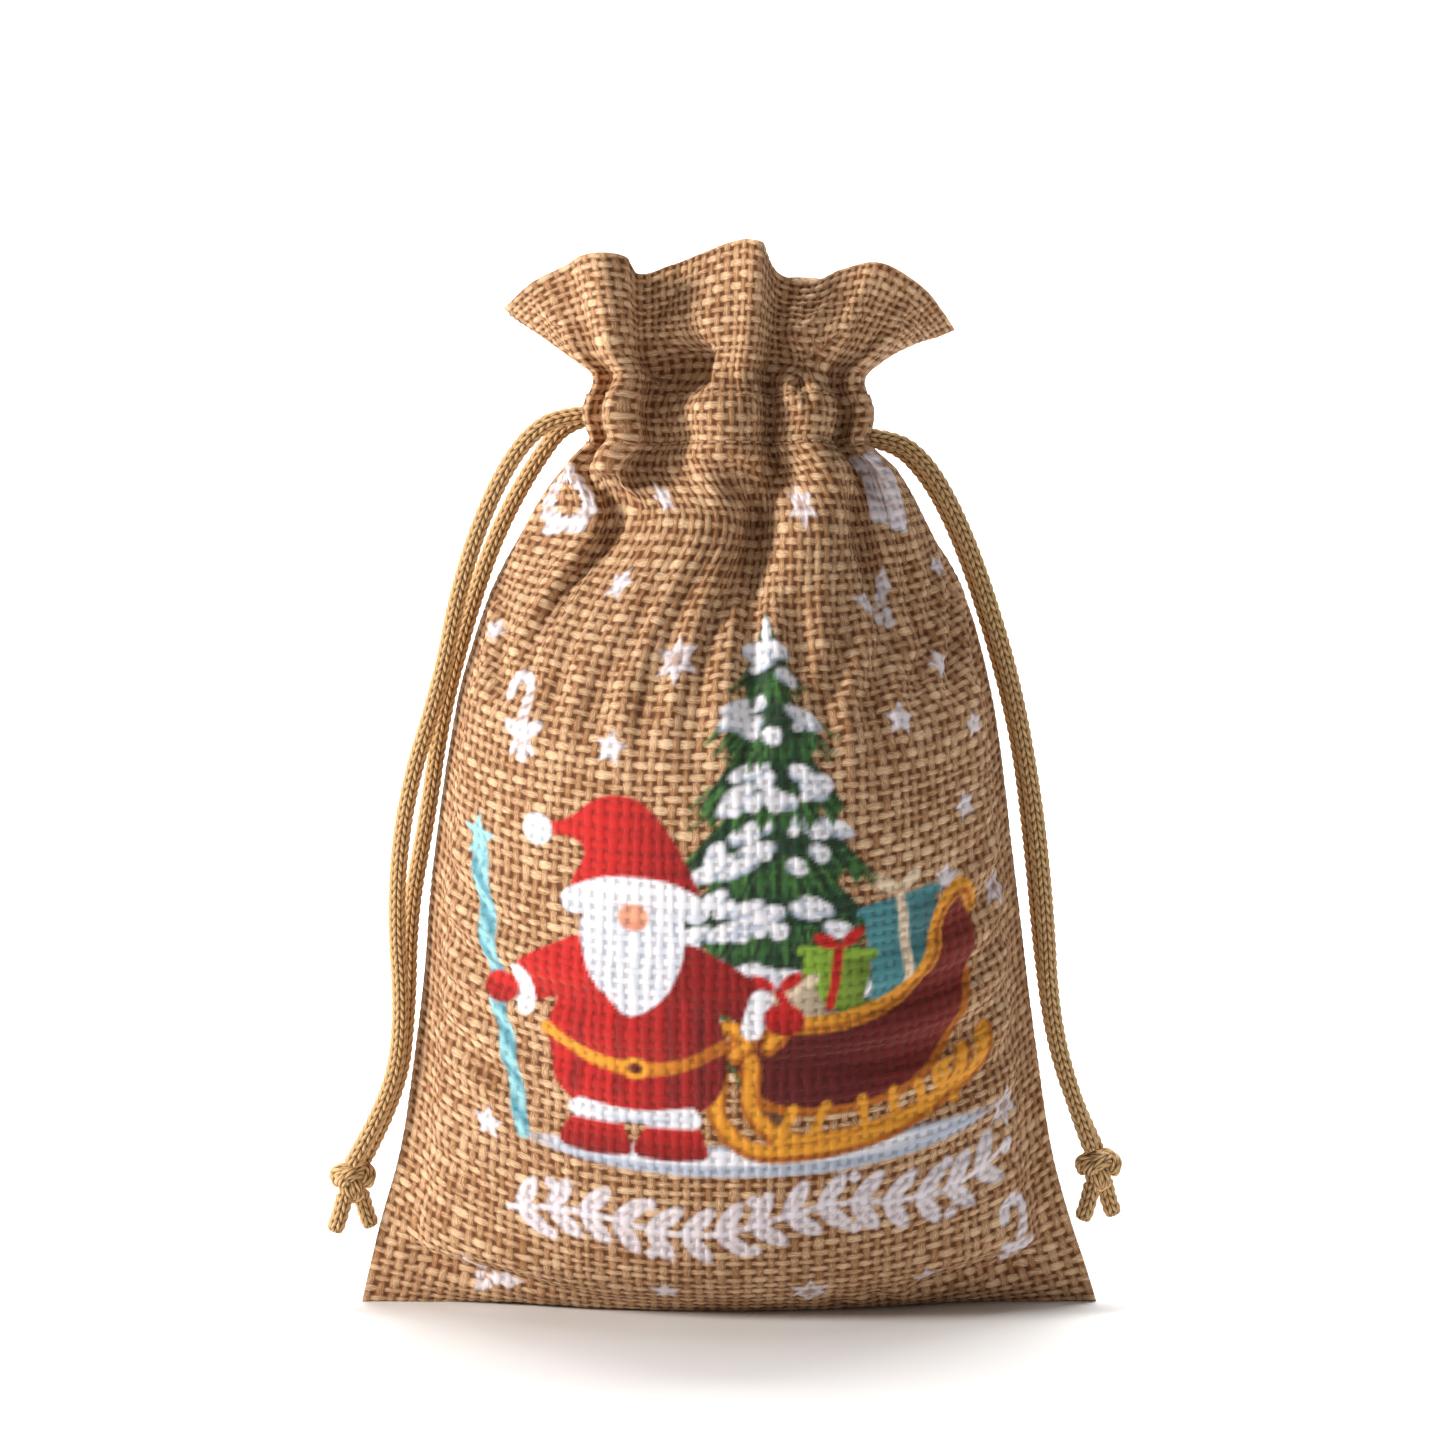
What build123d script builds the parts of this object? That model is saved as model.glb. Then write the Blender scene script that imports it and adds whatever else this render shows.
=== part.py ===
from build123d import *

import os
from math import asin, cos, degrees, pi, radians, sin, tan

# Drawstring gift sack of coarse woven cloth, standing filled and cinched at the neck.
# Millimetres, +Z up, the printed front towards -Y. The origin is the middle of the flat base.
# Two cloth panels are sewn down the sides and along the bottom. Their tops are turned in and
# stitched twice, which leaves a cord channel, the casing, and a loose ruffle above it. Two
# drawcords run round the casing: one leaves it on the left and one on the right, and the two
# strands of each hang down that side to a knot with two short tails.

os.makedirs("parts", exist_ok=True)

# Cloth
CLOTH = 1.2  # thickness of one layer of the coarse weave
ALLOWANCE = 6.0  # cloth left inside beyond each seam
SKIN = 0.05  # clear space between pieces that lie against each other
GAP = 0.3  # clear space between pieces that move apart

# The filled body: height, half width across the seams, half depth front to back
CASING_BOTTOM = 112.5
LENS_SECTIONS = [
    (0, 49.6, 11.5),
    (5, 48.6, 16.0),
    (14, 45.8, 20.0),
    (30, 42.2, 22.6),
    (52, 39.6, 23.6),
    (74, 36.8, 22.8),
    (88, 33.4, 20.8),
]
OVAL_SECTIONS = [(100, 29.2, 17.8), (CASING_BOTTOM, 22.2, 14.0)]

# The casing, drawn tight by the cords
NECK_Z, NECK_A, NECK_B = 118.4, 18.4, 12.0
CASING_TOP, TOP_A, TOP_B = 123.5, 19.6, 12.6
HOLE_A, HOLE_B = 9.6, 4.8  # what the gathers leave open in the middle
TUNNEL_OUT = (16.2, 9.9)
TUNNEL_IN = (11.8, 6.5)
TUNNEL_Z = (114.6, 122.2)
SLOT_X, SLOT_Y = 13.0, 3.7  # the side openings that the strands come out of

# The ruffle above the casing: height above its foot, half width, half depth of the outer face
RUFFLE_FOOT = CASING_TOP + GAP
RUFFLE_RISE = (0, 10.2, 18.2)
RUFFLE_OUT = [(19.9, 12.4), (30.4, 16.5), (34.0, 18.5)]
RUFFLE_MID = [(14.6, 8.4), (28.8, 15.0), (32.4, 17.0)]
RUFFLE_IN = [(HOLE_A, HOLE_B), (27.2, 13.6), (30.8, 15.6)]
RIM = [(-19, 140.4), (0, 142.0), (19, 139.6)]  # the rim's high points, left to right
CORNERS = [(-30.0, 133.6), (29.8, 131.6)]  # the flared side corners
RIM_FOOT_X = 23.0  # where the rim's outline meets the ruffle's foot

# Stitching
THREAD = 0.5
STITCH = 2.4  # length of one stitch
STITCH_PITCH = 3.6
CASING_ROWS = (115.2, 121.8)  # heights of the two rows that hold the casing
CASING_STITCH = 1.9  # shorter stitches follow the gathers better
STITCHES_PER_SIDE = 15
STITCH_SPAN = (22, 158)  # degrees round the neck, clear of the side openings
SEAM_INSET = 4.4  # from the sack's edge to the stitch line of a seam
SIDE_STITCHES_Z = (12.0, 104.0)  # heights that the side seams' stitches run between
BOTTOM_STITCHES = 22

# Drawcords
CORD_R = 1.2
RING_A, RING_B = 14.0, 8.2  # a cord's run round the casing
STRAND_Y = 2.2  # the two strands of a cord leave this far each side of the middle
RING_END_Y = 5.0  # where the fixed run stops short of the sliding strands
HINGE_X = 21.3  # where a strand starts to hang free
STUB_INNER = 13.4
KNOT_R = 3.3
BEND_SHARE = 0.45  # of the shorter run beside a bend, used up by its arc
TAIL_FOOT = (0.9, 1.3, -1.6)  # a tail's start, bend and end, from the knot's middle
TAIL_BEND = (1.4, 1.6, -4.4)
TAIL_END = (2.4, 1.7, -6.8)

LEFT_Z, RIGHT_Z = 119.8, 116.8  # each cord's level in the casing
LEFT_FRONT = [
    (-HINGE_X, -STRAND_Y, LEFT_Z), (-26.6, -2.4, 117.4), (-31.6, -2.4, 109.6), (-36.0, -2.2, 97.5),
    (-38.6, -2.0, 84.0), (-43.4, -1.8, 69.0), (-45.0, -1.8, 54.0), (-43.9, -1.8, 38.4),
    (-45.8, -1.6, 27.5), (-51.2, -1.4, 18.6),
]
LEFT_BACK = [
    (-HINGE_X, STRAND_Y, LEFT_Z), (-26.4, 2.4, 113.2), (-31.6, 2.4, 103.6), (-35.4, 2.2, 92.4),
    (-38.9, 2.0, 79.2), (-40.7, 1.8, 66.4), (-43.3, 1.8, 53.0), (-43.6, 1.8, 39.4),
    (-44.9, 1.6, 28.0), (-49.8, 1.4, 18.9),
]
RIGHT_FRONT = [
    (HINGE_X, -STRAND_Y, RIGHT_Z), (26.2, -2.4, 113.4), (30.8, -2.4, 105.0), (34.8, -2.2, 94.0),
    (38.2, -2.0, 82.0), (40.9, -1.8, 67.0), (42.4, -1.8, 52.6), (43.0, -1.8, 40.6),
    (45.2, -1.6, 30.4), (48.8, -1.4, 20.8),
]
RIGHT_BACK = [
    (HINGE_X, STRAND_Y, RIGHT_Z), (26.8, 2.4, 111.6), (31.4, 2.4, 102.4), (35.6, 2.2, 89.6),
    (39.1, 2.0, 76.0), (40.9, 1.8, 61.0), (42.2, 1.8, 47.0), (43.8, 1.8, 36.0),
    (46.6, 1.6, 26.8), (49.8, 1.4, 20.2),
]
LEFT_KNOT = (-51.0, 0, 16.6)
RIGHT_KNOT = (49.8, 0, 18.2)


def lens(half_width, half_depth):
    """Two arcs that meet in a point at each side seam."""
    with BuildLine() as outline:
        ThreePointArc((-half_width, 0), (0, -half_depth), (half_width, 0))
        ThreePointArc((half_width, 0), (0, half_depth), (-half_width, 0))
    make_face(outline.edges())


def oval(half_width, half_depth):
    """The same outline with the side seams drawn round."""
    with BuildLine() as outline:
        EllipticalCenterArc((0, 0), half_width, half_depth, start_angle=180, arc_size=180)
        EllipticalCenterArc((0, 0), half_width, half_depth, start_angle=0, arc_size=180)
    make_face(outline.edges())


def filled_body(inset):
    """The space inside the sack, inset from the cloth's outer face, from its floor upwards."""
    floor = (inset, *LENS_SECTIONS[0][1:])
    above = [section for section in LENS_SECTIONS if section[0] > inset]
    with BuildPart() as space:
        for z, half_width, half_depth in [floor, *above]:
            with BuildSketch(Plane.XY.offset(z)):
                lens(half_width - inset, half_depth - inset)
        for z, half_width, half_depth in OVAL_SECTIONS:
            with BuildSketch(Plane.XY.offset(z)):
                oval(half_width - inset, half_depth - inset)
        loft()
    return space.part


def oval_stack(heights, sizes):
    """A solid through ovals of the given half sizes, straight from each to the next."""
    with BuildPart() as stack:
        for z, (half_width, half_depth) in zip(heights, sizes):
            with BuildSketch(Plane.XY.offset(z)):
                oval(half_width, half_depth)
        loft(ruled=True)
    return stack.part


def finish(solid, name):
    """Labels a finished piece and writes it."""
    solid.label = name
    export_step(solid, f"parts/{name}.step")


def export_halves(whole, kind, clearance=0.0):
    """Cuts a piece along the side seams into its front and back halves."""
    for side, keep in (("front", Keep.TOP), ("back", Keep.BOTTOM)):
        shift = clearance if side == "front" else -clearance
        with BuildPart() as half:
            add(whole)
            split(bisect_by=Plane.XZ.offset(shift), keep=keep)
        finish(half.part, f"{side}_{kind}")


# ------------------------------------------------------------------ front and back panels
outside = filled_body(0)
inside = filled_body(CLOTH)

with BuildPart() as panels:
    add(outside)
    add(inside, mode=Mode.SUBTRACT)
export_halves(panels.part, "panel")

# ------------------------------------------------------------------ seam allowances, inside
REACH = 60  # beyond every piece, for cutting
seam_top = CLOTH + ALLOWANCE  # where the bottom allowance gives way to the sides

with BuildPart() as allowance:
    Box(2 * REACH, 2 * CLOTH, CASING_BOTTOM, align=(Align.CENTER, Align.CENTER, Align.MIN))
    add(filled_body(CLOTH + SKIN), mode=Mode.INTERSECT)
    add(filled_body(CLOTH + ALLOWANCE), mode=Mode.SUBTRACT)

with BuildPart() as bottom_allowance:
    add(allowance.part)
    split(bisect_by=Plane.XY.offset(seam_top), keep=Keep.BOTTOM)
finish(bottom_allowance.part, "bottom_seam_allowance")

for side, keep in (("left", Keep.BOTTOM), ("right", Keep.TOP)):
    with BuildPart() as side_allowance:
        add(allowance.part)
        split(bisect_by=Plane.XY.offset(seam_top + SKIN), keep=Keep.TOP)
        split(bisect_by=Plane.YZ, keep=keep)
    finish(side_allowance.part, f"{side}_seam_allowance")


def body_half_width(z):
    """Half width of the filled body at a height, from the nearest two sections."""
    sections = LENS_SECTIONS + OVAL_SECTIONS
    for (z0, a0, _), (z1, a1, _) in zip(sections, sections[1:]):
        if z <= z1:
            return a0 + (a1 - a0) * (z - z0) / (z1 - z0)
    return sections[-1][1]


# ------------------------------------------------------------------ seam stitches, inside
stitch_y = -(CLOTH + THREAD / 2 + SKIN)
seam_rows = int((SIDE_STITCHES_Z[1] - SIDE_STITCHES_Z[0]) / STITCH_PITCH)

for name, sign in (("left_seam_stitches", -1), ("right_seam_stitches", 1)):
    with BuildPart() as stitches:
        for i in range(seam_rows):
            z = SIDE_STITCHES_Z[0] + i * STITCH_PITCH
            with Locations((sign * (body_half_width(z) - SEAM_INSET), stitch_y, z)):
                Box(THREAD, THREAD, STITCH)
    finish(stitches.part, name)

with BuildPart() as bottom_stitches:
    with Locations((0, stitch_y, SEAM_INSET)):
        with GridLocations(STITCH_PITCH, 1, BOTTOM_STITCHES, 1):
            Box(STITCH, THREAD, THREAD)
finish(bottom_stitches.part, "bottom_seam_stitches")

# ------------------------------------------------------------------ casing
casing_heights = (CASING_BOTTOM, NECK_Z, CASING_TOP)
casing_sizes = (OVAL_SECTIONS[-1][1:], (NECK_A, NECK_B), (TOP_A, TOP_B))
tunnel_height = TUNNEL_Z[1] - TUNNEL_Z[0]

with BuildPart() as casing:
    add(oval_stack(casing_heights, casing_sizes))
    with BuildSketch(Plane.XY.offset(CASING_BOTTOM)):
        oval(HOLE_A, HOLE_B)
    extrude(amount=CASING_TOP - CASING_BOTTOM, mode=Mode.SUBTRACT)
    with BuildSketch(Plane.XY.offset(TUNNEL_Z[0])):
        Ellipse(*TUNNEL_OUT)
        Ellipse(*TUNNEL_IN, mode=Mode.SUBTRACT)
    extrude(amount=tunnel_height, mode=Mode.SUBTRACT)
    for sign in (-1, 1):
        with Locations((sign * (SLOT_X + REACH) / 2, 0, sum(TUNNEL_Z) / 2)):
            Box(REACH - SLOT_X, 2 * SLOT_Y, tunnel_height, mode=Mode.SUBTRACT)
export_halves(casing.part, "casing")


def casing_size(z):
    """Half width and half depth of the casing's outer face at a height."""
    low = 0 if z < NECK_Z else 1
    share = (z - casing_heights[low]) / (casing_heights[low + 1] - casing_heights[low])
    (a0, b0), (a1, b1) = casing_sizes[low], casing_sizes[low + 1]
    return a0 + (a1 - a0) * share, b0 + (b1 - b0) * share


# ------------------------------------------------------------------ casing stitches
stitch_step = (STITCH_SPAN[1] - STITCH_SPAN[0]) / (STITCHES_PER_SIDE - 1)

for side, turn in (("front", 180), ("back", 0)):
    with BuildPart() as rows:
        for z in CASING_ROWS:
            half_width, half_depth = casing_size(z)
            for i in range(STITCHES_PER_SIDE):
                angle = radians(turn + STITCH_SPAN[0] + i * stitch_step)
                outward = Vector(cos(angle) / half_width, sin(angle) / half_depth, 0).normalized()
                foot = Vector(half_width * cos(angle), half_depth * sin(angle), z)
                seat = Plane(foot + outward * THREAD, x_dir=(0, 0, 1), z_dir=outward)
                with Locations(seat):
                    Box(THREAD, CASING_STITCH, THREAD)
    finish(rows.part, f"{side}_casing_stitches")

# ------------------------------------------------------------------ ruffle and its facing
ruffle_heights = [RUFFLE_FOOT + rise for rise in RUFFLE_RISE]
rim_outline = [(-RIM_FOOT_X, RUFFLE_FOOT), CORNERS[0], *RIM, CORNERS[1], (RIM_FOOT_X, RUFFLE_FOOT)]

with BuildPart() as rim_cut:
    with BuildSketch(Plane.XZ):
        Polygon(*rim_outline, align=None)
    extrude(amount=REACH, both=True)


def ruffle_layer(outer, inner):
    """One layer of the flared mouth, its rim cut to the folds' height."""
    with BuildPart() as layer:
        add(oval_stack(ruffle_heights, outer))
        add(oval_stack(ruffle_heights, inner), mode=Mode.SUBTRACT)
        add(rim_cut.part, mode=Mode.INTERSECT)
    return layer.part


mid_clear = [(a - SKIN, b - SKIN) for a, b in RUFFLE_MID]
export_halves(ruffle_layer(RUFFLE_OUT, RUFFLE_MID), "ruffle", clearance=GAP)
export_halves(ruffle_layer(mid_clear, RUFFLE_IN), "facing", clearance=GAP)


# ------------------------------------------------------------------ drawcords
def tube(points, name):
    """A cord along straight runs joined by arcs as large as the runs allow."""
    runs = [b - a for a, b in zip(points, points[1:])]
    radii = []
    for before, after in zip(runs, runs[1:]):
        half_turn = radians(before.get_angle(after)) / 2
        radii.append(BEND_SHARE * min(before.length, after.length) / tan(half_turn))
    with BuildPart() as cord:
        with BuildLine() as path:
            FilletPolyline(*points, radius=radii)
        with BuildSketch(Plane(points[0], z_dir=runs[0])):
            Circle(CORD_R)
        sweep()
    length = sum(edge.length for edge in path.edges())
    expected = pi * CORD_R**2 * length
    print(name, "length", round(length, 1), "radii", [round(radius, 1) for radius in radii])
    print(name, "volume over section times length", round(cord.part.volume / expected, 4))
    return cord.part


def ring_run(sign, z, name):
    """The stretch of one cord that goes round inside the casing."""
    half_gap = degrees(asin(RING_END_Y / RING_B))
    first = half_gap if sign > 0 else 180 + half_gap
    with BuildPart() as ring:
        with BuildLine(Plane.XY.offset(z)) as path:
            EllipticalCenterArc((0, 0), RING_A, RING_B, start_angle=first, arc_size=360 - 2 * half_gap)
        with BuildSketch(Plane(path.line @ 0, z_dir=path.line % 0)):
            Circle(CORD_R)
        sweep()
    finish(ring.part, name)


def drawcord(side, sign, z, strands, knot_at):
    """One drawcord: its run in the casing, two strands, the knot and its tails."""
    ring_run(sign, z, f"{side}_cord_in_casing")
    for place, points in strands.items():
        y = points[0][1]
        stub_outer = HINGE_X - CORD_R - GAP / 2
        with BuildPart() as stub:
            with BuildSketch(Plane((sign * STUB_INNER, y, z), z_dir=(sign, 0, 0))):
                Circle(CORD_R)
            extrude(amount=stub_outer - STUB_INNER)
        finish(stub.part, f"{side}_{place}_exit")
        hanging = tube([Vector(*point) for point in points], f"{side}_{place}_strand")
        with BuildPart() as strand:
            add(hanging)
            with Locations(points[0]):
                Sphere(CORD_R)
        finish(strand.part, f"{side}_{place}_strand")
    with BuildPart() as knot:
        with Locations(knot_at):
            Sphere(KNOT_R)
    finish(knot.part, f"{side}_knot")
    for place, lean in (("front", -1), ("back", 1)):
        offsets = [Vector(lean * x, lean * y, z) for x, y, z in (TAIL_FOOT, TAIL_BEND, TAIL_END)]
        points = [Vector(*knot_at) + offset for offset in offsets]
        finish(tube(points, f"{side}_{place}_tail"), f"{side}_{place}_tail")


drawcord("left", -1, LEFT_Z, {"front": LEFT_FRONT, "back": LEFT_BACK}, LEFT_KNOT)
drawcord("right", 1, RIGHT_Z, {"front": RIGHT_FRONT, "back": RIGHT_BACK}, RIGHT_KNOT)
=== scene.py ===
from math import asin, atan, atan2, cos, hypot, pi, radians, sin

import bpy
import numpy as np
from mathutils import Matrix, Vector


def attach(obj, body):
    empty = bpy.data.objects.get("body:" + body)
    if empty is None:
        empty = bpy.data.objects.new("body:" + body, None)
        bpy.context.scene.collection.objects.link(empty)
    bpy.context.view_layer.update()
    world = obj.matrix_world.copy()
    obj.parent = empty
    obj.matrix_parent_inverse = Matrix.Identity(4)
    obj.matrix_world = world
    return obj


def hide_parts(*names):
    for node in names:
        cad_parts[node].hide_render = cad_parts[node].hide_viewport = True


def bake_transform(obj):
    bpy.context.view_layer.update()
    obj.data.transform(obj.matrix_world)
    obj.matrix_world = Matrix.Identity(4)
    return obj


# Fabric gift sack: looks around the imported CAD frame. Lengths in the cloth code are millimetres
# and become metres when a mesh is made. Each panel of cloth has its own flat coordinates: u runs
# from the left seam (-50) to the right seam (+50), v up from the bottom seam to the rim.

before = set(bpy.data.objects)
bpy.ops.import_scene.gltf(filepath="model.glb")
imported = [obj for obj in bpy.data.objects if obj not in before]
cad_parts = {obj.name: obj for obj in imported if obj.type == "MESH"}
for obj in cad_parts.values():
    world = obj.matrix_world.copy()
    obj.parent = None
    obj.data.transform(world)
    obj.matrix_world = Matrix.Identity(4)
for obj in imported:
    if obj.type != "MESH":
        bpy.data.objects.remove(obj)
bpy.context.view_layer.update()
MM = 0.001
rng = np.random.default_rng(7)

# ---- the cloth as it was cut ----
HALF_FLAT = 50.0  # half the flat width of a panel
RIM_V = 156.0  # flat length from bottom seam to rim
FACING = 31.0  # how far the turned-in cloth goes down inside from the rim
WARP = 1.57  # yarn pitch across
WEFT = 1.45  # yarn pitch up
ROW_LOW, ROW_HIGH = 127.6, 134.6  # the two casing stitch rows, along v
SIDES_OPEN = 127.0  # the side seams end here, to let the cords out
CELL = 2.0  # grid of the relaxing cloth
RELAX_ROUNDS = 400
PER_YARN = 4  # mesh steps per yarn in the finished cloth

# The outline seen from the front: height, half width
LEFT_EDGE = [
    (0, 49.8), (10, 47.5), (18, 45.0), (26, 43.3), (38, 41.7), (52, 40.6), (65, 39.1), (78, 37.3),
    (89, 34.2), (98, 31.2), (102, 29.5), (108, 26.9), (114, 22.0), (118, 18.4),
]
RIGHT_EDGE = [
    (0, 49.6), (9, 46.8), (15, 44.5), (28, 41.9), (43, 40.1), (61, 37.9), (78, 35.6), (84, 34.6),
    (98, 30.8), (102, 28.2), (110, 23.2), (114, 20.4), (118, 18.2),
]

# The middle of the front seen from the side: flat height, real height, half depth
PROFILE = [
    (0, 0, 0), (6, 0.2, 6.0), (12, 4.4, 10.2), (22, 12.6, 15.4), (42, 31.2, 20.0), (64, 51.5, 22.6),
    (86, 73.3, 22.8), (101, 88.0, 21.0), (112, 98.4, 17.8), (120, 106.0, 14.6),
]
# Height of the same rows at the side seams
SEAM_RISE = [
    (0, 0), (6, 5.6), (12, 11.4), (22, 21.0), (42, 40.2), (64, 61), (86, 81), (101, 94), (112, 102.2),
    (120, 108.6),
]

# The drawn neck in plan, left to right: flat u, x, y. Ridges stand out, valleys run in deep
NECK_FRONT = [
    (-50, -18.2, -1.8), (-44, -18.0, -4.6), (-39, -17.4, -6.8), (-35.5, -15.8, -6.4), (-33, -15.6, -9.8),
    (-29.5, -13.8, -13.0), (-26, -11.8, -10.2), (-23, -10.8, -6.8), (-18, -8.4, -6.9), (-13, -6.0, -9.6),
    (-8, -3.6, -12.6), (-2, 0.2, -13.2), (3, 3.0, -12.0), (6.5, 4.4, -7.6), (11, 5.6, -7.0),
    (14.5, 7.0, -10.8), (20, 10.0, -11.6), (26, 12.8, -9.6), (30, 13.4, -6.2), (35, 15.0, -6.4),
    (39, 16.6, -7.6), (44, 17.8, -5.0), (50, 18.2, -1.8),
]
NECK_BACK = [
    (-50, -18.2, 1.8), (-43, -17.2, 6.6), (-36, -14.6, 5.8), (-28, -11.6, 10.2), (-20, -8.4, 6.8),
    (-12, -5.2, 11.2), (-5, -2.2, 11.9), (1, 0.0, 7.4), (8, 3.2, 11.9), (16, 6.4, 10.9), (22, 8.8, 6.8),
    (30, 11.8, 10.0), (37, 14.8, 5.8), (43, 17.0, 6.8), (50, 18.2, 1.8),
]
# The casing between its stitch rows and just above: flat height, share of the drawn neck, height
NECK_ROWS = [(ROW_LOW, 1.00, 115.8), (131.1, 1.045, 118.9), (ROW_HIGH, 1.02, 121.9), (137.4, 0.97, 124.4)]
# The front's shoulder below the neck: flat u, x, y. A flat left shoulder, then two broad ridges
SHOULDER = [
    (-50, -27.6, -1.6), (-45, -24.0, -5.4), (-40, -19.6, -8.6), (-36, -16.9, -9.2), (-32.5, -15.7, -6.8),
    (-29, -14.0, -7.6), (-25, -11.0, -11.6), (-19, -7.2, -14.4), (-12, -2.8, -15.2), (-6, 0.8, -13.6),
    (-2, 2.4, -9.6), (1.5, 3.6, -7.4), (5, 5.0, -9.4), (9, 7.2, -13.2), (15, 11.4, -14.2),
    (20, 14.2, -12.0), (24, 15.6, -8.8), (28, 17.0, -8.0), (33, 19.6, -9.4), (40, 22.8, -7.8),
    (45, 24.6, -4.8), (50, 25.8, -1.6),
]
# The rim: flat u, x, y, height
RIM_FRONT = [
    (-50, -29.9, -1.2, 133.6), (-42, -26.0, -5.5, 136.6), (-36, -20.8, -8.6, 139.0),
    (-33, -19.4, -13.0, 139.6), (-29, -16.2, -15.4, 139.9), (-26, -13.4, -13.6, 139.4),
    (-24, -12.4, -9.4, 137.4), (-17, -8.2, -9.0, 138.4), (-9, -3.4, -10.4, 140.2),
    (-2, 1.0, -13.4, 141.6), (2, 3.8, -15.6, 141.4), (5, 4.6, -11.6, 140.0), (10, 6.4, -6.9, 137.6),
    (16, 10.6, -6.6, 136.6), (23, 15.0, -10.6, 138.0), (30, 19.6, -13.0, 138.6), (38, 24.6, -9.6, 136.0),
    (45, 27.8, -5.0, 133.0), (50, 29.7, -1.2, 130.8),
]
RIM_BACK = [
    (-50, -29.4, 1.2, 133.0), (-41, -25.0, 8.4, 136.4), (-33, -19.8, 13.8, 138.6),
    (-25, -14.4, 12.6, 137.6), (-18, -10.2, 8.4, 138.2), (-10, -5.6, 12.6, 139.6),
    (-2, -1.0, 15.8, 140.4), (6, 3.8, 13.0, 139.0), (13, 7.6, 8.8, 138.4), (21, 12.4, 12.8, 138.6),
    (30, 18.0, 14.6, 138.0), (40, 24.4, 9.4, 135.4), (50, 29.2, 1.2, 131.0),
]
# Dents and swellings on the front: u, v, radius in u, radius in v, outward height
FRONT_FORMS = [
    (-29.5, 130, 2.6, 6, 2.4), (-29, 121.5, 5, 2.2, -2.0), (-12, 139.5, 8, 3.6, -5.2),
    (-3, 129, 5, 5, 1.6), (-3, 123.2, 8, 1.3, -2.6), (20, 125, 3.8, 6, 1.6), (19, 140.0, 7, 3.4, -3.6),
    (33, 128, 2.5, 6, -1.6), (-24, 99, 17, 7, 0.9), (-2, 74, 22, 14, 0.5),
]
BACK_FORMS = [(20, 111, 16, 5.5, -2.0), (-24, 108, 12, 6, -1.4), (0, 70, 24, 16, 0.6)]


def sizes(vectors):
    return np.linalg.norm(vectors, axis=-1, keepdims=True)


def unit(vectors):
    return vectors / np.maximum(sizes(vectors), 1e-9)


def turned(x, y, turn):
    c, s = cos(turn), sin(turn)
    return x * c - y * s, x * s + y * c


def spline_weights(knots, targets):
    """Matrix of Catmull-Rom weights that carries values at knots to targets."""
    knots = np.asarray(knots, float)
    n = len(knots)
    i = np.clip(np.searchsorted(knots, targets, side="right") - 1, 0, n - 2)
    h = knots[i + 1] - knots[i]
    t = (targets - knots[i]) / h
    weights = np.zeros((len(targets), n))
    rows = np.arange(len(targets))
    weights[rows, i] += 2 * t**3 - 3 * t**2 + 1
    weights[rows, i + 1] += -2 * t**3 + 3 * t**2
    for end, share in ((i, t**3 - 2 * t**2 + t), (i + 1, t**3 - t**2)):
        before = np.clip(end - 1, 0, n - 1)
        after = np.clip(end + 1, 0, n - 1)
        slope = share * h / (knots[after] - knots[before])
        np.add.at(weights, (rows, after), slope)
        np.add.at(weights, (rows, before), -slope)
    return weights


def carry(points, targets):
    """Smooth values at targets from rows of (position, value, value...)."""
    table = np.array(points, float)
    return spline_weights(table[:, 0], targets) @ table[:, 1:]


def lens_row(v, u, facing):
    """One row of the filled body, an arc between the side seams. facing is -1 front, +1 back."""
    z_mid, depth = carry(PROFILE, np.array([v]))[0]
    z_seam = carry(SEAM_RISE, np.array([v]))[0, 0]
    s = u / HALF_FLAT
    z = z_mid + (z_seam - z_mid) * np.abs(s) ** 2.6
    left, right = (np.interp(z_seam, *zip(*edge)) for edge in (LEFT_EDGE, RIGHT_EDGE))
    wide = np.where(s < 0, left, right)
    bend = 2 * atan2(depth, wide.mean())
    if bend < 1e-6:
        return np.stack([wide * s, 0 * s, z], 1)
    x = wide * np.sin(bend * s) / sin(bend)
    y = facing * depth * (np.cos(bend * s) - cos(bend)) / (1 - cos(bend))
    return np.stack([x, y, z], 1)


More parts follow.
